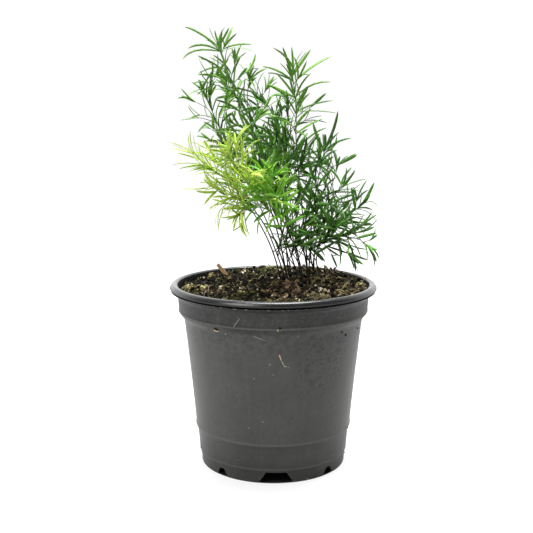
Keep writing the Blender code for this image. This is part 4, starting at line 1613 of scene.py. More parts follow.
SHOOTS = (
    ShootPlan(
        "stem_01",
        (
            (19, -3), (18, -3, 156), (10, -4, 180), (3, -5, 196), (-7, -6, 236), (-13, -8, 260),
            (-21, -6, 274), (-28, -4, 290), (-34, 0, 308), (-38, 2, 318), (-42, 4, 330),
        ),
        0.36, 24, 17, whorls=(0.93,),
        sprays=((0.62, (-30, -20, 262)), (0.80, (-50, -10, 302)), (0.86, (-30, 12, 318))),
        palette=Palette.FRESH,
        fullness=0.75,
    ),
    ShootPlan(
        "stem_02",
        (
            (9, 6), (5, 6, 162), (-5, 2, 188), (-15, 0, 204), (-24, 0, 221), (-31, 4, 239), (-38, 8, 258),
            (-47, 10, 278), (-54, 12, 293),
        ),
        0.42, 22, 15,
        sprays=(
            (0.66, (-46, -4, 268)), (0.75, (-52, 22, 268)), (0.82, (-36, 20, 290)), (0.85, (-60, 2, 276)),
        ),
        palette=Palette.FRESH, fullness=0.85,
    ),
    ShootPlan(
        "stem_03",
        (
            (6, 2), (3, 0, 160), (-3, -6, 178), (-12, -14, 197), (-20, -22, 211), (-28, -28, 223),
            (-39, -32, 233), (-49, -34, 239),
        ),
        0.50, 20, 17,
        sprays=(
            (0.55, (-36, -30, 212)), (0.62, (-44, -40, 224)), (0.70, (-46, -26, 250)),
            (0.62, (-26, -38, 204)),
        ),
        palette=Palette.YELLOW,
    ),
    ShootPlan(
        "stem_04",
        (
            (12, -3), (8, -4, 162), (0, -10, 184), (-8, -18, 203), (-15, -26, 218), (-22, -32, 231),
            (-27, -36, 245), (-28, -38, 256),
        ),
        0.50, 20, 17,
        sprays=((0.62, (-14, -40, 232)), (0.72, (-36, -42, 250))), palette=Palette.YELLOW,
    ),
    ShootPlan(
        "stem_05",
        (
            (11, 12), (9, 13, 160), (4, 18, 182), (-3, 22, 206), (-9, 28, 234), (-17, 34, 266),
            (-21, 36, 290), (-19, 36, 308),
        ),
        0.42, 25, 16, sprays=((0.78, (-6, 34, 298)), (0.85, (-34, 40, 304))),
        palette=Palette.FRESH,
    ),
    ShootPlan(
        "stem_06",
        ((13, 18), (12, 18, 156), (11, 20, 171), (12, 26, 197), (10, 34, 225), (6, 40, 253), (2, 42, 275)),
        0.42, 25, 16,
    ),
    ShootPlan(
        "stem_07",
        ((23, -9), (20, -9, 161), (15, -12, 180), (7, -20, 199), (2, -28, 214),
         (-2, -36, 227), (-4, -42, 236)),
        0.50, 18, 16, sprays=((0.60, (14, -30, 208)), (0.72, (-12, -30, 214))),
        palette=Palette.BRIGHT,
    ),
    ShootPlan(
        "stem_08",
        (
            (24, 3), (21, 2, 162), (16, 1, 181), (10, 0, 204), (5, 0, 231), (3, 2, 259), (-1, 4, 280),
            (-9, 4, 289),
        ),
        0.40, 26, 17,
    ),
    ShootPlan(
        "stem_09",
        (
            (28, 18), (27, 19, 159), (24, 21, 173), (19, 22, 183), (15, 22, 201), (12, 22, 226),
            (11, 20, 250), (12, 20, 272), (12, 20, 286),
        ),
        0.40, 25, 17,
    ),
    ShootPlan(
        "stem_10",
        (
            (29, 34), (28, 30, 160), (27, 24, 178), (23, 16, 206), (20, 10, 235), (18, 8, 258),
            (18, 8, 276), (17, 8, 291), (15, 8, 308),
        ),
        0.36, 24, 22, whorls=(0.82, 0.91), palette=Palette.FRESH, fullness=0.45,
    ),
    ShootPlan(
        "stem_11",
        ((34, 37), (32, 32, 158), (31, 24, 174), (32, 12, 202), (35, 6, 223), (38, 2, 241), (41, 0, 254)),
        0.40, 22, 19, whorls=(0.90,), sprays=((0.80, (54, 6, 240)),),
    ),
    ShootPlan(
        "stem_12",
        ((38, 31), (36, 28, 158), (38, 21, 172), (45, 12, 186), (53, 4, 197), (62, 0, 202), (70, -2, 208)),
        0.38, 20, 16, sprays=((0.62, (60, 12, 216)),),
    ),
    ShootPlan(
        "stem_13",
        ((34, 22), (33, 17, 160), (36, 4, 174), (44, -10, 184), (55, -18, 185),
         (67, -24, 183), (74, -27, 177)),
        0.36, 18, 16, sprays=((0.60, (58, -20, 172)), (0.45, (46, -16, 170))), fullness=0.8,
    ),
    ShootPlan(
        "stem_14",
        ((30, 26), (30, 22, 159), (31, 8, 179), (35, -8, 197), (41, -16, 210),
         (49, -20, 220), (55, -22, 225)),
        0.40, 22, 17,
    ),
    ShootPlan(
        "stem_15",
        ((35, 43), (35, 43, 160), (38, 44, 182), (44, 46, 203), (51, 48, 224), (55, 48, 237)),
        0.45, 24, 17,
    ),
    ShootPlan(
        "stem_16",
        ((15, 27), (13, 29, 160), (7, 34, 182), (-2, 40, 204), (-14, 45, 224),
         (-22, 47, 241), (-27, 47, 249)),
        0.48, 25, 17,
    ),
)

GREENS = (Palette.FRESH, Palette.DEEP)

SPRAYS = {
    Palette.DEEP: (
        (21, 0, 213), (29, -10, 202), (39, 6, 208), (46, 0, 199), (57, -6, 192), (35, -10, 187),
        (25, -14, 193), (49, -6, 182), (63, 6, 200), (42, 10, 219), (31, 12, 225), (54, 6, 211),
        (66, -16, 188), (20, -12, 181), (57, 10, 219), (69, -10, 199), (10, -10, 220), (2, -16, 209),
        (-6, -20, 221), (13, -20, 201), (5, 0, 239), (-3, 6, 251), (18, 6, 243), (26, 10, 250),
        (-12, -6, 240), (10, 12, 258), (-6, 8, 266), (23, 6, 232), (-18, 6, 258), (39, 10, 243),
        (30, -16, 176), (20, 40, 236), (-4, 46, 244), (30, 50, 214), (10, 50, 214), (-14, 52, 226),
        (60, 34, 206), (46, 60, 208), (64, 50, 216), (72, 16, 186), (44, -34, 178), (36, -22, 196),
        (28, -26, 188), (46, -20, 200), (22, -6, 198), (15, -8, 203), (24, -4, 190), (28, -8, 184),
        (34, -2, 228), (18, 4, 210), (12, -8, 182), (4, -4, 190), (20, -4, 176), (30, 2, 174),
        (34, -8, 178), (26, -12, 184), (38, 2, 186),
    ),
    Palette.FRESH: (
        (-22, 0, 274), (-30, 0, 266), (-56, -6, 304), (-53, 6, 292), (-44, 0, 308), (-61, 0, 288),
        (-49, 0, 280), (-37, 6, 289), (-25, 10, 302), (-17, 10, 305), (-47, 6, 269), (-37, 10, 258),
        (-28, 46, 286), (-40, 30, 276), (-30, 24, 250), (-8, 44, 280), (-48, 2, 318), (-46, -4, 311),
        (-15, 4, 206),
    ),
    Palette.YELLOW: (
        (-55, -36, 241), (-60, -34, 250), (-44, -40, 227), (-33, -40, 215), (-36, -34, 246),
        (-51, -40, 223), (-21, -36, 223), (-25, -38, 206), (-40, -38, 208), (-24, -40, 199),
    ),
    Palette.BRIGHT: (
        (-2, -34, 229), (1, -36, 204), (-9, -38, 215), (11, -34, 215), (8, -36, 195), (-9, -30, 236),
        (-14, -40, 222), (4, -44, 218), (-14, -36, 200), (-18, -32, 207),
    ),
}

# Long leaves that stand out in the outline: the root, middle and tip of each, and its width.
LONE_LEAVES = {
    "stem_01": (
        ((-46, 4, 330), (-59, 2, 341), (-68, 0, 344), 2.0),
        ((-42, 4, 329), (-44, 2, 337), (-45, 2, 342), 1.5),
        ((-46, 4, 331), (-47, 3, 338), (-49, 2, 344), 0.6),
        ((-42, 4, 329), (-38, 3, 337), (-34, 2, 344), 1.9),
        ((-44, 4, 326), (-54, 2, 331), (-66, 0, 328), 2.0),
        ((-46, 4, 325), (-59, 2, 327), (-70, 0, 320), 1.8),
        ((-40, 4, 324), (-27, 2, 329), (-14, 0, 325), 0.7),
    ),
    "stem_10": (
        ((15, 8, 307), (11, 7, 319), (7, 6, 330), 2.4), ((15, 8, 307), (15, 7, 319), (14, 6, 330), 2.0),
        ((15, 8, 306), (21, 7, 317), (29, 6, 328), 2.8), ((15, 8, 305), (3, 8, 312), (-9, 8, 315), 2.0),
        ((15, 8, 304), (4, 8, 309), (-5, 8, 310), 1.7), ((17, 8, 290), (5, 7, 297), (-6, 6, 302), 2.7),
        ((17, 8, 290), (30, 6, 301), (45, 4, 303), 1.7), ((18, 8, 281), (31, 6, 286), (47, 4, 289), 1.6),
        ((18, 8, 279), (34, 6, 281), (51, 4, 279), 1.1), ((17, 8, 284), (23, 7, 293), (27, 5, 300), 3.4),
        ((18, 8, 262), (28, 7, 270), (39, 6, 275), 2.0), ((18, 8, 254), (21, 6, 262), (27, 5, 267), 2.2),
        ((18, 8, 250), (30, 6, 262), (42, 5, 268), 1.6), ((18, 8, 254), (12, 7, 263), (9, 6, 272), 2.0),
    ),
    "stem_11": (
        ((41, 0, 254), (47, -1, 267), (50, -2, 281), 2.6), ((40, 0, 252), (34, 0, 262), (31, 0, 272), 2.6),
        ((40, 0, 250), (50, 0, 257), (61, 0, 260), 1.8),
    ),
    "stem_12": (
        ((70, -2, 208), (75, -3, 217), (79, -4, 226), 2.6),
        ((69, -2, 207), (77, -6, 211), (81.5, -10, 207), 0.8),
        ((66, -1, 205), (63, -2, 214), (61, -3, 222), 2.6),
        ((64, 0, 203), (74, -7, 203), (81, -12, 195), 0.7),
    ),
    "stem_13": (
        ((70, -25, 180), (77, -27, 176), (81, -28, 169), 1.7),
        ((62, -21, 184), (72, -20, 186), (80, -20, 188), 2.6),
        ((55, -18, 185), (66, -18, 193), (76, -17, 195), 2.6),
    ),
}

# Gaps in the foliage as they look from the front: the place across, the height and the radius of each.
CLEARINGS = (
    (57, 227, 12), (59, 241, 9), (-50, 216, 9), (-16, 317, 9), (-60, 277, 8), (3, 291, 9), (21, 277, 5),
    (-37, 335, 7), (74, 181, 5), (-30, 309, 4), (32, 286, 10), (76, 219, 6), (-66, 214, 6), (49, 246, 6),
    (-14, 288, 6), (-53, 267, 6), (-54, 284, 6), (10, 300, 5), (-40, 271, 5), (-18, 313, 6),
    (-45, 203, 5),
)

# Bare twigs low down: the height on the stem where each starts, and its tip.
TWIGS = {
    "stem_03": ((149, (-13, 4, 152)), (172, (20, -4, 182)),),
    "stem_01": ((168, (22, -6, 190)), (160, (2, -8, 176)),), "stem_02": ((170, (14, 0, 178)),),
    "stem_08": ((158, (1, 4, 184)),), "stem_09": ((158, (40, 12, 184)),),
    "stem_10": ((160, (11, 20, 188)),), "stem_14": ((160, (17, 12, 186)),),
    "stem_06": ((158, (27, 18, 180)),), "stem_07": ((164, (28, -14, 182)),),
    "stem_12": ((158, (22, 20, 178)),), "stem_05": ((166, (20, 14, 184)),),
    "stem_04": ((172, (12, -14, 192)),), "stem_11": ((156, (14, 20, 170)),),
    "stem_13": ((158, (14, 10, 172)),), "stem_15": ((158, (20, 30, 176)),),
    "stem_16": ((158, (30, 24, 172)),),
}

LEAF_SHARES = np.array([0.0, 0.06, 0.18, 0.36, 0.56, 0.76, 0.9, 1.0])
LEAF_WIDTHS = np.array([0.34, 0.5, 0.86, 1.0, 1.0, 0.9, 0.6, 0.07])


def bent_leaf(root: Array, middle: Array, tip: Array) -> Array:
    """A leaf's line from its root through its middle to its tip.

    Args:
        root: Its root.
        middle: A point that it passes halfway.
        tip: Its tip.

    Returns:
        The line's points, one for each of the leaf's shares.
    """
    share = LEAF_SHARES[:, None]
    ends = root * (1 - share) * (1 - 2 * share) + tip * share * (2 * share - 1)
    return ends + middle * 4 * share * (1 - share)


class GuideBook:
    """The lines that one shoot is drawn along, with the values that each of their points carries."""

    def __init__(self) -> None:
        """Starts empty."""
        self.points: list[Array] = []
        self.edges: list[tuple[int, int]] = []
        self.values: dict[str, list] = {"radius": [], "leafy": [], "pale": [], "along": []}
        self.faces: list[Array] = []
        self.tints: list[Array] = []

    def add(
        self, line: Array, radii: Sequence[float], tints: Array, face: Array | None = None, pale: float = 0.0
    ) -> None:
        """Adds a stem, or a leaf where a face is given.

        Args:
            line: Its points in millimetres.
            radii: Its radius, or half its width, at each point.
            tints: One tint, or one for each point.
            face: The way that a leaf's flat side looks.
            pale: How yellow it is.
        """
        first = len(self.points)
        count = len(line)
        runs = np.gradient(line, axis=0)
        for i in range(count):
            self.points.append(line[i] * MM)
            run = unit(runs[i])
            look = UP if face is None else face
            self.faces.append(unit(look - (look @ run) * run))
        self.edges += [(first + i, first + i + 1) for i in range(count - 1)]
        self.values["radius"] += [radius * MM for radius in radii]
        self.values["leafy"] += [0.0 if face is None else 1.0] * count
        self.values["pale"] += [pale] * count
        self.values["along"] += list(np.linspace(0.0, 1.0, count))
        self.tints += list(np.broadcast_to(tints, (count, 3)))

    def object(self, name: str) -> Thing:
        """The guides as an object of bare edges with their values.

        Args:
            name: The object's name.

        Returns:
            The object.
        """
        mesh = bpy.data.meshes.new(name)
        mesh.from_pydata([tuple(point) for point in self.points], self.edges, [])
        for key, values in self.values.items():
            layer = mesh.attributes.new(key, "FLOAT", "POINT")
            layer.data.foreach_set("value", np.array(values, np.float32))
        faces = mesh.attributes.new("face", "FLOAT_VECTOR", "POINT")
        faces.data.foreach_set("vector", np.array(self.faces, np.float32).ravel())
        paint(mesh, np.array(self.tints))
        return link(name, mesh)


def shoot_tree() -> Tree:
    """The geometry tree that gives the guides their bodies: round stems, and flat keeled leaves.

    Returns:
        The tree.
    """
    ports = [
        Port("Guides", "Geometry"), Port("Stem sides", "Int", 6), Port("Leaf sides", "Int", 6),
        Port("Leaf thickness", value=0.2), Port("Leaf fold", value=0.25), Port("Leaf skin", "Material"),
        Port("Stem bark", "Material"),
    ]
    wiring, given, result = open_tree("leafy_shoot", "Geometry", ports, [Port("Shoot", "Geometry")])

    def circle(sides: str) -> Socket:
        """A round curve with as many sides as an input says."""
        return wiring.make("GeometryNodeCurvePrimitiveCircle", {"Resolution": given[sides], "Radius": 1.0})

    def body(curve: Socket, profile: Socket) -> Socket:
        """The closed body of a profile that follows a curve at the guides' radius."""
        solid = {"Curve": curve, "Profile Curve": profile, "Scale": wiring.named("radius"), "Fill Caps": True}
        return wiring.make("GeometryNodeCurveToMesh", solid)

    leafy = wiring.maths("GREATER_THAN", wiring.named("leafy"), 0.5)
    parting = {0: given["Guides"], 1: leafy}
    leaf_guides, stem_guides = wiring.add("GeometryNodeSeparateGeometry", parting, domain="POINT").outputs
    runs = wiring.make("GeometryNodeMeshToCurve", {0: stem_guides})
    x, y, _ = wiring.parts(wiring.make("GeometryNodeInputPosition"))
    marked = wiring.store(circle("Leaf sides"), "across", y)
    fold = wiring.product(wiring.maths("ABSOLUTE", y), given["Leaf fold"])
    flat = wiring.vector(wiring.line(x, given["Leaf thickness"], fold), y)
    section = wiring.make("GeometryNodeSetPosition", {"Geometry": marked, "Position": flat})
    veins = wiring.make("GeometryNodeMeshToCurve", {0: leaf_guides})
    aim = {"Curve": veins, "Normal": wiring.named("face", "FLOAT_VECTOR")}
    aimed = wiring.make("GeometryNodeSetCurveNormal", aim, mode="FREE")
    barked = wiring.clothed(body(runs, circle("Stem sides")), given["Stem bark"])
    skinned = wiring.clothed(body(aimed, section), given["Leaf skin"])
    whole = wiring.realized(wiring.joined(barked, skinned))
    wiring.give(result["Shoot"], wiring.make("GeometryNodeSetShadeSmooth", {0: whole}))
    return wiring.tree


class Shoot:
    """One leafy shoot: stem, branches and blades follow the part, and more leaves and twigs fill it in."""

    stem_radius = 0.85
    branch_radius = 0.6
    branch_step = 12.3
    node_step = 9.0
    first_node = 6.0
    tip_inset = 0.9
    stagger = 1.3
    tip_blades = 5
    whorl_blades = 4
    blade_width = 2.0
    hole_depth = 14.0
    stem_rise = 1.5
    stem_step = 18.0
    ring_angle = 40.0
    side_angle = 56.0
    end_angle = 30.0
    stem_taper = (0.7, 0.27)
    branch_taper = (0.38, 0.2)
    spray_taper = (0.36, 0.18)
    twig_taper = (0.46, 0.2)
    soil_tint = np.array([0.014, 0.013, 0.006])
    spray_tint = np.array([0.02, 0.02, 0.008])
    twig_tint = np.array([0.02, 0.022, 0.008])
    widest = 81.5
    lowest = 150.0
    highest = 344.0

    def __init__(self, plan: ShootPlan, number: int) -> None:
        """Lays the stem's line.

        Args:
            plan: The shoot's plan.
            number: Its place in the list, which seeds its draws.
        """
        self.plan = plan
        self.number = number
        x, y = plan.route[0]
        surface = soil_height(x, y)
        marks = [(x, y, surface + self.stem_rise), *plan.route[1:]]
        self.foot = np.array([x, y, surface - self.hole_depth])
        self.line = smooth_line(marks, self.stem_step)
        self.fine_line = smooth_line([self.foot, *marks], 4.0)
        self.branches: list[Array] = []
        self.blades: list[tuple[Array, Array, Array]] = []
        self.sprays: list[tuple[int, Array]] = []

    def grow_branches(self, space: Space) -> None:
        """Places the side branches as the part does: those of the plan, then a spiral of them.

        Args:
            space: The room that all the shoots share.
        """
        plan = self.plan
        draw = np.random.default_rng(100 + self.number)
        for share, tip in plan.sprays:
            branch = np.array([along(self.line, share)[0], np.array(tip, float)])
            if space.has_room(branch, self.branch_radius, plan.name):
                space.add(branch, self.branch_radius, plan.name)
                self.branches.append(branch)
        turn = draw.uniform(0, 2 * math.pi)
        count = int(length_of(self.line) * (1 - plan.leafy_from) / self.branch_step)
        for k in range(count):
            place = (k + 0.5) / count
            start, direction = along(self.line, plan.leafy_from + (1 - plan.leafy_from) * place)
            turn += GOLDEN_ANGLE
            swell = 0.5 + 0.5 * math.sin(math.pi * min(1.0, 0.25 + place * 0.85))
            size = plan.reach * swell * draw.uniform(0.8, 1.15) * (0.7 if place > 0.8 else 1.0)
            angle = math.radians(draw.uniform(52, 68))
            for attempt in range(10):
                outward = leaning(direction, angle, turn + attempt * math.radians(37))
                tip = start + unit(outward + 0.1 * UP) * size * (1 - 0.04 * attempt)
                branch = np.array([start, tip])
                if space.holds(tip) and space.has_room(branch, self.branch_radius, plan.name):
                    space.add(branch, self.branch_radius, plan.name)
                    self.branches.append(branch)
                    break

    def blade_places(self, draw: Generator) -> list[tuple]:
        """Where the part's blades grow: point, direction, angle in degrees, size and turn.

        Args:
            draw: The seeded draw.

        Returns:
            A row for each blade.
        """
        places = []
        total = length_of(self.line)
        for share in (*self.plan.whorls, 1.0):
            turn = draw.uniform(0, 2 * math.pi)
            count = self.tip_blades if share == 1.0 else self.whorl_blades
            for j in range(count):
                point, direction = along(self.line, share - (self.tip_inset + j * self.stagger) / total)
                places.append((point, direction, self.ring_angle, 1.0, turn + 2 * math.pi * j / count))
        for branch in self.branches:
            total = length_of(branch)
            turn = draw.uniform(0, 2 * math.pi)
            nodes = max(1, int((total - self.first_node) / self.node_step))
            for k in range(nodes):
                turn += GOLDEN_ANGLE
                share = (self.first_node + k * (total - self.first_node) / nodes) / total
                places.append((*along(branch, share), self.side_angle, 0.95, turn))
            for j in range(2):
                point, direction = along(branch, 1.0 - (self.tip_inset + j * self.stagger) / total)
                places.append((point, direction, self.end_angle, 0.85, turn + GOLDEN_ANGLE + j * math.pi))
        return places

    def grow_blades(self, space: Space) -> None:
        """Places the part's own blades, each turned or shortened until it is clear of the other shoots.

        Args:
            space: The room that all the shoots share.
        """
        draw = np.random.default_rng(500 + self.number)
        name = self.plan.name
        for point, direction, angle, scale, turn in self.blade_places(draw):
            size = self.plan.blade * scale * draw.uniform(0.82, 1.18)
            lean = math.radians(angle + draw.uniform(-9, 9))
            for attempt in range(9):
                outward = unit(leaning(direction, lean, turn + attempt * math.radians(40)) + 0.06 * UP)
                tip = point + outward * size * (1 - 0.03 * attempt)
                blade = np.array([point, tip])
                if not space.holds(tip) or not space.has_room(blade, self.blade_width / 2, name):
                    continue
                outer = point + (tip - point) * 0.25
                crossed = space.gap(outer, tip, self.blade_width / 2, name, own=True) < 0.1
                if crossed and attempt < 6:
                    continue
                self.blades.append((point, tip, direction))
                space.add(blade, self.blade_width / 2, name)
                break

    def leaf_tint(self, draw: Generator) -> tuple[Array, float]:
        """A leaf's tint and how yellow it is.

        Args:
            draw: The seeded draw.

        Returns:
            The tint, and a share of yellow.
        """
        light, deep, pale = self.plan.palette.value
        share = draw.uniform(0, 1)
        tint = np.array(light) * share + np.array(deep) * (1 - share)
        return tint * draw.uniform(0.85, 1.15), float(np.clip(pale * draw.uniform(0.5, 1.25), 0, 1))

    def add_leaf(
        self, book: GuideBook, draw: Generator, root: Array, tip: Array, direction: Array,
        width: float, bow: float,
    ) -> None:
        """Adds one arched leaf.

        Args:
            book: The shoot's guides.
            draw: The seeded draw.
            root: Where it grows.
            tip: Its point.
            direction: The way that its branch runs.
            width: Its full width.
            bow: How far its middle bows, as a share of its length.
        """
        reach = tip - root
        size = float(np.linalg.norm(reach))
        outward = reach / size
        side = unit(np.cross(direction, outward))
        face = np.cross(outward, side)
        arch = unit(face * 0.8 + UP * 0.5 + side * draw.uniform(-0.5, 0.5))
        arch = unit(arch - (arch @ outward) * outward)
        shares = LEAF_SHARES[:, None]
        line = root + reach * shares + arch * (bow * size) * 4 * shares * (1 - shares)
        twist = draw.uniform(-0.6, 0.6)
        look = face * math.cos(twist) + side * math.sin(twist)
        tint, pale = self.leaf_tint(draw)
        book.add(line, LEAF_WIDTHS * width / 2, tint, look, pale)

    def add_stem(self, book: GuideBook) -> None:
        """Adds the main stem, nearly black at the soil and green above.

        Args:
            book: The shoot's guides.
        """
        radii = np.linspace(*self.stem_taper, len(self.fine_line))
        share = np.clip((self.fine_line[:, 2] - 165) / 90, 0, 1)[:, None]
        upper = np.array(self.plan.palette.value[1]) * 0.8
        book.add(self.fine_line, radii, self.soil_tint * (1 - share) + upper * share)

    def add_spray(self, book: GuideBook, first: int, tip: Array) -> Array:
        """Adds a spray's twig, which leaves the stem along it and bends to its tip.

        Args:
            book: The shoot's guides.
            first: The point of the stem's fine line that it leaves from.
            tip: Its end.

        Returns:
            Its line.
        """
        start = self.fine_line[first]
        ahead = unit(self.fine_line[min(first + 2, len(self.fine_line) - 1)] - start)
        reach = tip - start
        middle = start + ahead * (0.22 * np.linalg.norm(reach)) + reach * 0.3
        line = smooth_line([start, middle, tip], 5.0)
        share = np.clip((line[:, 2] - 165) / 60, 0.25, 1)[:, None]
        tints = self.spray_tint * (1 - share) + np.array(self.plan.palette.value[1]) * share
        book.add(line, np.linspace(*self.spray_taper, len(line)), tints)
        return line

    def add_branch(self, book: GuideBook, line: Array) -> Array:
        """Adds a side branch with a slight bow.

        Args:
            book: The shoot's guides.
            line: Its start and end.

        Returns:
            The curved line.
        """
        start, end = line[0], line[-1]
        nearest = self.fine_line[np.linalg.norm(self.fine_line - start, axis=1).argmin()]
        root = start + (nearest - start) * (0.3 if np.linalg.norm(nearest - start) > 2.5 else 0.0)
        shares = np.linspace(0, 1, 7)[:, None]
        rise = UP * (0.04 * np.linalg.norm(end - root))
        curved = root + (end - root) * shares + rise * 4 * shares * (1 - shares)
        tint = np.array(self.plan.palette.value[1]) * 0.9
        book.add(curved, np.linspace(*self.branch_taper, 7), tint)
        return curved

    def within(self, point: Array) -> bool:
        """Whether a leaf's tip is inside the room of the whole plant."""
        beside = abs(point[0]) < self.widest and abs(point[1]) < self.widest
        return bool(beside and self.lowest < point[2] < self.highest)

    def open_at(self, point: Array) -> bool:
        """Whether a place is outside the clearings, which are given as they look from the front.

        Args:
            point: The place, in millimetres.

        Returns:
            True where leaves may be.
        """
        eye = np.array(Studio.camera_place) / MM
        share = -eye[1] / (point[1] - eye[1])
        x = eye[0] + (point[0] - eye[0]) * share
        z = eye[2] + (point[2] - eye[2]) * share
        return all(math.hypot(x - place[0], z - place[1]) > place[2] for place in CLEARINGS)

    def fill_leaves(self, book: GuideBook, draw: Generator, line: Array, start: float) -> None:
        """Adds leaves along a line in small rings, or in pairs like a comb's teeth on a yellow shoot.

        Args:
            book: The shoot's guides.
            draw: The seeded draw.
            line: The line.
            start: Where the leaves begin, in millimetres from its start.
        """
        total = length_of(line)
        paired = self.plan.palette is Palette.YELLOW
        turn = draw.uniform(0, 2 * math.pi)
        at = start + draw.uniform(0.0, 2.0)
        while at < total:
            last = at > total - 2.5
            turn += 0.12 if paired else GOLDEN_ANGLE
            count = 2
            if last or not paired:
                count = int(draw.integers(3, 6) if last else draw.integers(2, 4))
            point, direction = along(line, min(at / total, 0.999))
            swell = 0.86 + 0.34 * math.sin(math.pi * min(1.0, at / total))
            for j in range(count):
                around = turn + j * 2 * math.pi / count + draw.uniform(-0.3, 0.3)
                if paired:
                    lean = math.radians(draw.uniform(20, 40))
                    side = unit(np.cross(direction, (0.0, 1.0, 0.0))) * (1 - 2 * (j % 2))
                    outward = direction * math.cos(lean) + side * math.sin(lean)
                    outward = unit(outward + np.array([0.0, draw.uniform(-0.3, 0.2), 0.0]))
                else:
                    lean = math.radians(draw.uniform(10, 38) if last else draw.uniform(30, 66))
                    outward = unit(leaning(direction, lean, around) + 0.12 * UP)
                tip = point + outward * self.plan.blade * swell * draw.uniform(0.85, 1.35)
                if self.within(tip) and self.open_at((point + tip) / 2) and self.open_at(tip):
                    width = draw.uniform(1.4, 2.1) if paired else draw.uniform(1.6, 2.6)
                    self.add_leaf(book, draw, point, tip, direction, width, draw.uniform(0.03, 0.13))
            at += (draw.uniform(4.4, 6.2) if paired else draw.uniform(8.5, 12.0)) / self.plan.fullness

    def add_twigs(self, book: GuideBook) -> None:
        """Adds the shoot's bare twigs, which cross low down between the stems.

        Args:
            book: The shoot's guides.
        """
        for height, tip in TWIGS.get(self.plan.name, ()):
            start = self.fine_line[np.abs(self.fine_line[:, 2] - height).argmin()]
            reach = np.array(tip, float) - start
            middle = start + reach * 0.5 + np.array([0.0, 0.0, 0.1 * np.linalg.norm(reach)])
            line = smooth_line([start, middle, start + reach], 4.0)
            book.add(line, np.linspace(*self.twig_taper, len(line)), self.twig_tint)

    def add_lone_leaves(self, book: GuideBook, draw: Generator) -> None:
        """Adds the shoot's own leaves of the outline, each from the nearest point of its stem.

        Args:
            book: The shoot's guides.
            draw: The seeded draw.
        """
        for root, middle, tip, width in LONE_LEAVES.get(self.plan.name, ()):
            near = np.linalg.norm(self.fine_line - np.array(root), axis=1).argmin()
            line = bent_leaf(self.fine_line[near], np.array(middle, float), np.array(tip, float))
            tint, pale = self.leaf_tint(draw)
            look = np.array([draw.uniform(-0.3, 0.3), -0.8, draw.uniform(0.2, 0.7)])
            book.add(line, LEAF_WIDTHS * width / 2, tint, look, pale)

    def build(self, tree: Tree, finishes: dict[str, Material]) -> Thing:
        """Builds the shoot's mesh.

        Args:
            tree: The geometry tree for shoots.
            finishes: The materials by name.

        Returns:
            The shoot's object.
        """
        draw = np.random.default_rng(900 + self.number)
        book = GuideBook()
        self.add_stem(book)
        for root, tip, direction in self.blades:
            self.add_leaf(book, draw, root, tip, direction, draw.uniform(1.7, 2.6), draw.uniform(0.04, 0.12))
        for branch in self.branches:
            self.fill_leaves(book, draw, self.add_branch(book, branch), 4.0)
        for first, tip in self.sprays:
            line = self.add_spray(book, first, tip)
            self.fill_leaves(book, draw, line, 0.36 * length_of(line))
        if not self.plan.whorls:
            first = int(len(self.fine_line) * (0.35 + 0.5 * self.plan.leafy_from))
            upper = self.fine_line[first:]
            self.fill_leaves(book, draw, upper, 2.0)
        self.add_lone_leaves(book, draw)
        self.add_twigs(book)
        shoot = book.object(f"leafy_{self.plan.name}")
        grow(shoot, tree, {"Leaf skin": finishes["leaf"], "Stem bark": finishes["bark"]})
        yellow = self.plan.palette is Palette.YELLOW
        return settle(shoot, "leaf_yellow" if yellow else "leaf_green", self.plan.name)


class Foliage:
    """All the shoots, which share one space so that none crosses another."""

    def __init__(self) -> None:
        """Grows the shoots in the part's order: stems, then branches, then blades."""
        self.shoots = [Shoot(plan, number) for number, plan in enumerate(SHOOTS)]
        space = Space()
        for shoot in self.shoots:
            space.add(np.vstack([shoot.foot, shoot.line]), shoot.stem_radius, shoot.plan.name)
        for shoot in self.shoots:
            shoot.grow_branches(space)
        for shoot in self.shoots:
            shoot.grow_blades(space)
        self.share_out()

    def share_out(self) -> None:
        """Gives each spray to the shoot of its colours whose stem passes best below its tip."""
        for palette, tips in SPRAYS.items():
            kinds = GREENS if palette in GREENS else (palette,)
            for tip in tips:
                end = np.array(tip, float)
                choices = []
                for number, shoot in enumerate(self.shoots):
                    if shoot.plan.palette not in kinds:
                        continue
                    for k, point in enumerate(shoot.fine_line):
                        if point[2] > 158.0:
                            low = max(0.0, 10.0 - (end[2] - point[2]))
                            cost = abs(float(np.linalg.norm(end - point)) - 22.0) + 0.5 * low
                            choices.append((cost, number, k))
                _, number, k = min(choices)
                self.shoots[number].sprays.append((k, end))

    def build(self, finishes: dict[str, Material]) -> None:
        """Builds every shoot's mesh.

        Args:
            finishes: The materials by name.
        """
        tree = shoot_tree()
        for shoot in self.shoots:
            shoot.build(tree, finishes)


@dataclass(frozen=True)
class Mark:
    """A bit of dirt on the pot's wall, or the dark streak painted as its shadow: its angle from the front and
    height at both ends, width and tint.
    """

    angle: float
    height: float
    end_angle: float
    end_height: float
    width: float
    tint: Colour


STRAW = (0.5, 0.38, 0.2)
CHALK = (0.45, 0.44, 0.4)
HAIR = (0.42, 0.41, 0.37)
SOOT_AND_SHADOW = (0.008, 0.007, 0.006)

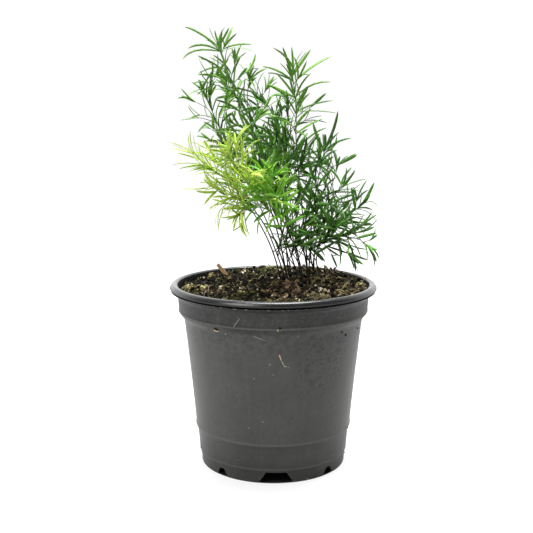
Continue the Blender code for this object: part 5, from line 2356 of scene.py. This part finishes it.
MARKS = tuple(
    Mark(*row)
    for row in (
        # The second mark is a dark streak painted as the shadow above the tan fleck of the first.
        (-37.6, 120.3, -34.2, 119.6, 1.6, (0.9, 0.7, 0.45)), (-36.4, 121.9, -34.0, 121.1, 1.5, SOOT_AND_SHADOW),
        (-29.9, 118.5, -28.9, 118.4, 1.3, CHALK), (1.9, 125.0, 2.2, 123.4, 1.2, (0.8, 0.66, 0.4)),
        (2.2, 126.2, 4.2, 125.9, 1.0, SOOT_AND_SHADOW), (3.0, 124.6, 4.0, 123.9, 0.9, (0.3, 0.27, 0.14)),
        (-19.0, 132.5, -23.0, 125.0, 0.7, HAIR), (-12.5, 119.0, -4.5, 115.5, 0.7, HAIR),
        (3.2, 104.6, 4.6, 99.8, 1.1, (0.85, 0.72, 0.5)), (4.7, 99.6, 6.6, 95.8, 0.8, (0.7, 0.62, 0.46)),
        (6.4, 95.6, 8.0, 95.0, 0.9, (0.8, 0.7, 0.5)), (8.8, 94.4, 9.4, 94.2, 0.8, CHALK),
        (-0.5, 89.0, 0.0, 88.8, 0.7, CHALK), (-3.7, 91.5, -3.2, 91.4, 0.7, CHALK),
        (-12.8, 85.5, -12.2, 85.3, 1.1, (0.6, 0.58, 0.52)), (50.0, 113.8, 51.2, 113.0, 1.6, SOOT_AND_SHADOW),
        (45.6, 116.8, 46.6, 116.4, 1.1, SOOT_AND_SHADOW), (66.6, 114.7, 67.8, 114.3, 1.2, SOOT_AND_SHADOW),
        (11.8, 53.7, 12.3, 53.3, 0.7, SOOT_AND_SHADOW), (12.0, 116.0, 12.6, 116.0, 0.8, CHALK),
        (14.0, 118.5, 14.5, 118.3, 0.7, CHALK), (-26.6, 17.2, -26.0, 16.9, 0.8, CHALK),
        (39.0, 8.1, 39.6, 7.9, 0.8, CHALK), (25.5, 22.6, 26.1, 22.3, 0.9, (0.2, 0.17, 0.12)),
        (26.2, 1.2, 27.4, 1.0, 1.2, STRAW), (-75.9, 12.7, -74.9, 12.3, 1.2, SOOT_AND_SHADOW),
        (-72.4, 10.2, -71.6, 9.8, 1.1, (0.1, 0.08, 0.05)), (69.6, 31.7, 70.6, 31.2, 1.1, SOOT_AND_SHADOW),
        (81.0, 5.7, 82.0, 5.3, 1.0, (0.15, 0.12, 0.08)), (141.0, 96.0, 143.0, 93.5, 0.5, HAIR),
        (166.0, 118.6, 167.2, 118.3, 1.1, CHALK), (-128.0, 61.0, -127.4, 60.8, 0.9, STRAW),
        (-150.0, 127.0, -152.5, 123.5, 0.5, HAIR), (112.0, 22.0, 112.7, 21.8, 0.9, CHALK),
    )
)


@dataclass
class Litter:
    """The bits of soil, straw and hair that stick to the pot's wall, and a dark streak painted as the shadow
    above one of them.
    """

    pot: Pot
    proud: float = 0.12
    seed: int = 37
    swell: tuple = (0.45, 0.85, 1.0, 1.0, 0.95, 0.8, 0.35)

    def place(self, angle: float, height: float, lift: float) -> Array:
        """The point at an angle from the front and a height, just off the wall.

        Args:
            angle: The angle in degrees.
            height: The height.
            lift: How far off the wall.

        Returns:
            The point, in millimetres.
        """
        turn = math.radians(angle)
        across = self.pot.radius_at(height) + lift
        return np.array([across * math.sin(turn), -across * math.cos(turn), height])

    def build(self, finish: Material) -> Thing:
        """Builds all the marks as one piece.

        Args:
            finish: Their material.

        Returns:
            The one object.
        """
        shape = bmesh.new()
        draw = np.random.default_rng(self.seed)
        tints = []
        for mark in MARKS:
            shares = np.linspace(0, 1, len(self.swell))
            bend = draw.uniform(-0.5, 0.5)
            line = np.array([
                self.place(
                    mark.angle + (mark.end_angle - mark.angle) * share
                    + bend * math.sin(math.pi * share) * 0.6,
                    mark.height + (mark.end_height - mark.height) * share,
                    self.proud + mark.width * 0.12,
                )
                for share in shares
            ])
            radii = mark.width / 2 * np.array(self.swell) * draw.uniform(0.7, 1.15, len(self.swell))
            count = len(shape.verts)
            tube_mesh(shape, line, radii, 6)
            tints += [mark.tint] * (len(shape.verts) - count)
        mesh = closed("pot_litter", shape)
        paint(mesh, np.array(tints))
        mesh.materials.append(finish)
        return settle(link("pot_litter", mesh), "soil_mix")


@dataclass
class Grains:
    """The larger perlite grains, each where the part has its solid."""

    places: tuple = (
        (36, -33, 4.6), (42, -23, 4.2), (49, -9, 3.6), (-26, 56, 3.8), (5, 62, 4.4), (-43, 17, 3.4),
        (-52, -34, 3.6),
    )
    sink: float = 0.15
    ragged: float = 0.16

    def build(self, finish: Material) -> None:
        """Builds the grains.

        Args:
            finish: Their material.
        """
        for k, (x, y, size) in enumerate(self.places):
            shape = bmesh.new()
            bmesh.ops.create_icosphere(shape, subdivisions=4, radius=size / 2 * MM)
            shift = Vector((3.1 * k, 1.7 * k, 0.9 * k))
            centre = Vector((x, y, soil_height(x, y) - size * self.sink)) * MM
            for point in shape.verts:
                place = point.co / MM
                wave = noise.noise(place * 0.7 + shift) + 0.5 * noise.noise(place * 1.9 + shift)
                pits = 0.35 * abs(noise.noise(place * 4.0 + shift))
                point.co = point.co * (1.0 + self.ragged * (wave - pits)) + centre
            grain = link(f"perlite_grain_{k + 1}", closed("perlite_grain", shape))
            dress(grain, finish)
            settle(grain, "perlite", f"perlite_{k + 1}")


@dataclass
class Splinter:
    """The splinter of wood that stands out of the soil, with torn ends."""

    foot: tuple = (-34.0, 42.5, 137.0)
    tip: tuple = (-47.5, 46.0, 153.0)
    width: float = 3.4
    thickness: float = 2.0
    cuts: tuple = ((2, 30), (0, 8), (1, 4))
    sharp_from: float = 50.0

    def axes(self) -> Matrix:
        """The splinter's turn: across, depth and along.

        Returns:
            A matrix with the three as columns.
        """
        axis = unit(np.array(self.tip) - np.array(self.foot))
        across = unit(np.cross(axis, np.array([0.0, 1.0, 0.0])))
        return Matrix((across, np.cross(axis, across), axis)).transposed()

    def build(self, effects: Effects) -> Thing:
        """Builds the splinter.

        Args:
            effects: The shared groups of effects.

        Returns:
            The splinter's object.
        """
        turn = self.axes()
        grain_turn = tuple(turn.inverted().to_euler())
        finish = SplinterWood(grain_turn=grain_turn).material(effects)
        foot, tip = np.array(self.foot), np.array(self.tip)
        size = float(np.linalg.norm(tip - foot))
        shape = bmesh.new()
        bmesh.ops.create_cube(shape, size=1.0)
        for axis, cuts in self.cuts:
            across = [e for e in shape.edges if abs(e.verts[0].co[axis] - e.verts[1].co[axis]) > 0.5]
            bmesh.ops.subdivide_edges(shape, edges=across, cuts=cuts, use_grid_fill=True)
        centre = Vector((foot + tip) / 2)
        for point in shape.verts:
            x, y, z = point.co
            ragged = 0.5 * noise.noise(Vector((x * 7, y * 5, 3.0)))
            wear = 0.94 + 0.08 * noise.noise(Vector((x * 3, y * 3, z * 6)))
            groove = 0.1 * noise.noise(Vector((x * 9, y * 9, z * 1.5)))
            taper = 1.0 - 0.12 * (z + 0.5)
            local = Vector((
                x * self.width * taper * wear,
                y * (self.thickness * taper * wear + groove) + 0.35 * (0.25 - z * z),
                z * size + (ragged * 1.6 if abs(z) > 0.49 else 0.0) - (0.8 if z > 0.49 else 0.0),
            ))
            point.co = (centre + turn @ local) * MM
        splinter = link("splinter", closed("splinter", shape))
        dress(splinter, finish, sharp=self.sharp_from)
        return settle(splinter, "splinter_wood", "wood_splinter")


@dataclass
class Studio:
    """The white floor, the soft light all round and the camera at the photograph's view."""

    floor_size: float = 8.0
    camera_place: tuple = (-0.00537, -0.7, 0.2771)
    camera_pitch: float = 0.168
    lens: float = 59.94
    front_light: float = 0.25
    back_light: float = 1.75
    light_turn: tuple[float, float] = (-0.05, 0.65)
    aim: tuple = (0.0, 0.0, 0.17)
    sensor: float = 36.0
    lamps: tuple = (
        ("key_light", (-0.75, -0.8, 1.25), 0.7, 12.0),
        ("top_light", (0.1, 0.2, 1.7), 0.9, 50.0),
    )

    def build(self, effects: Effects) -> None:
        """Builds the floor, the world, the lights and the camera.

        Args:
            effects: The shared groups of effects.
        """
        shape = bmesh.new()
        bmesh.ops.create_grid(shape, x_segments=2, y_segments=2, size=self.floor_size / 2)
        floor = link("floor", closed("floor", shape))
        floor.data.materials.append(StudioWhite().material(effects))
        self.light_world()
        for name, place, size, power in self.lamps:
            lamp = bpy.data.lights.new(name, "AREA")
            lamp.size = size
            lamp.energy = power
            light = link(name, lamp)
            light.visible_camera = False
            light.location = place
            way = Vector(self.aim) - light.location
            light.rotation_euler = way.to_track_quat("-Z", "Y").to_euler()
        lens = bpy.data.cameras.new("view")
        lens.lens = self.lens
        lens.sensor_width = self.sensor
        camera = link("view", lens)
        camera.location = self.camera_place
        camera.rotation_euler = (math.pi / 2 - self.camera_pitch, 0.0, 0.0)
        bpy.context.scene.camera = camera
        bpy.context.scene.view_settings.view_transform = "Standard"

    def light_world(self) -> None:
        """Makes the world white to the eye, and a soft light that is brighter at the back than in front."""
        world = bpy.data.worlds.new("studio")
        bpy.context.scene.world = world
        world.use_nodes = True
        wiring = Wiring(world.node_tree)
        background = world.node_tree.nodes["Background"]
        way = wiring.parts(wiring.add("ShaderNodeTexCoord").outputs["Generated"])
        soft = wiring.fit(way[1], *self.light_turn, self.front_light, self.back_light)
        seen = wiring.add("ShaderNodeLightPath").outputs["Is Camera Ray"]
        wiring.give(background.inputs["Color"], (1.0, 1.0, 1.0))
        rest = wiring.maths("SUBTRACT", 1.0, soft)
        wiring.give(background.inputs["Strength"], wiring.line(seen, rest, soft))


def main() -> None:
    """Builds every class in order and reports each piece."""
    logging.basicConfig(level=logging.INFO, format="%(name)s: %(message)s")
    effects = Effects()
    finishes = {
        "peat": PeatMix().material(effects),
        "crumb": TintedBit("peat_crumb").material(effects),
        "grit": TintedBit("peat_grit").material(effects),
        "chip": TintedBit("bark_chip", 0.7, 0.6, 700.0).material(effects),
        "fibre": TintedBit("coir_strand", 0.75, 0.3, 500.0, 0.2).material(effects),
        "tuft": TintedBit("moss_leaf", 0.6, 0.4, 600.0, 0.2).material(effects),
        "grain": PerliteGrain().material(effects),
        "leaf": LeafSkin().material(effects),
        "bark": StemBark().material(effects),
    }
    pot = Pot()
    body, rim = PotPlastic().material(effects), PotPlastic("rim_plastic", haze=0.0).material(effects)
    pot.build(body, PotInside().material(effects), rim)
    Litter(pot).build(finishes["crumb"])
    SoilBed(pot).build(finishes)
    Foliage().build(finishes)
    Grains().build(finishes["grain"])
    Splinter().build(effects)
    Studio().build(effects)


if __name__ == "__main__":
    main()
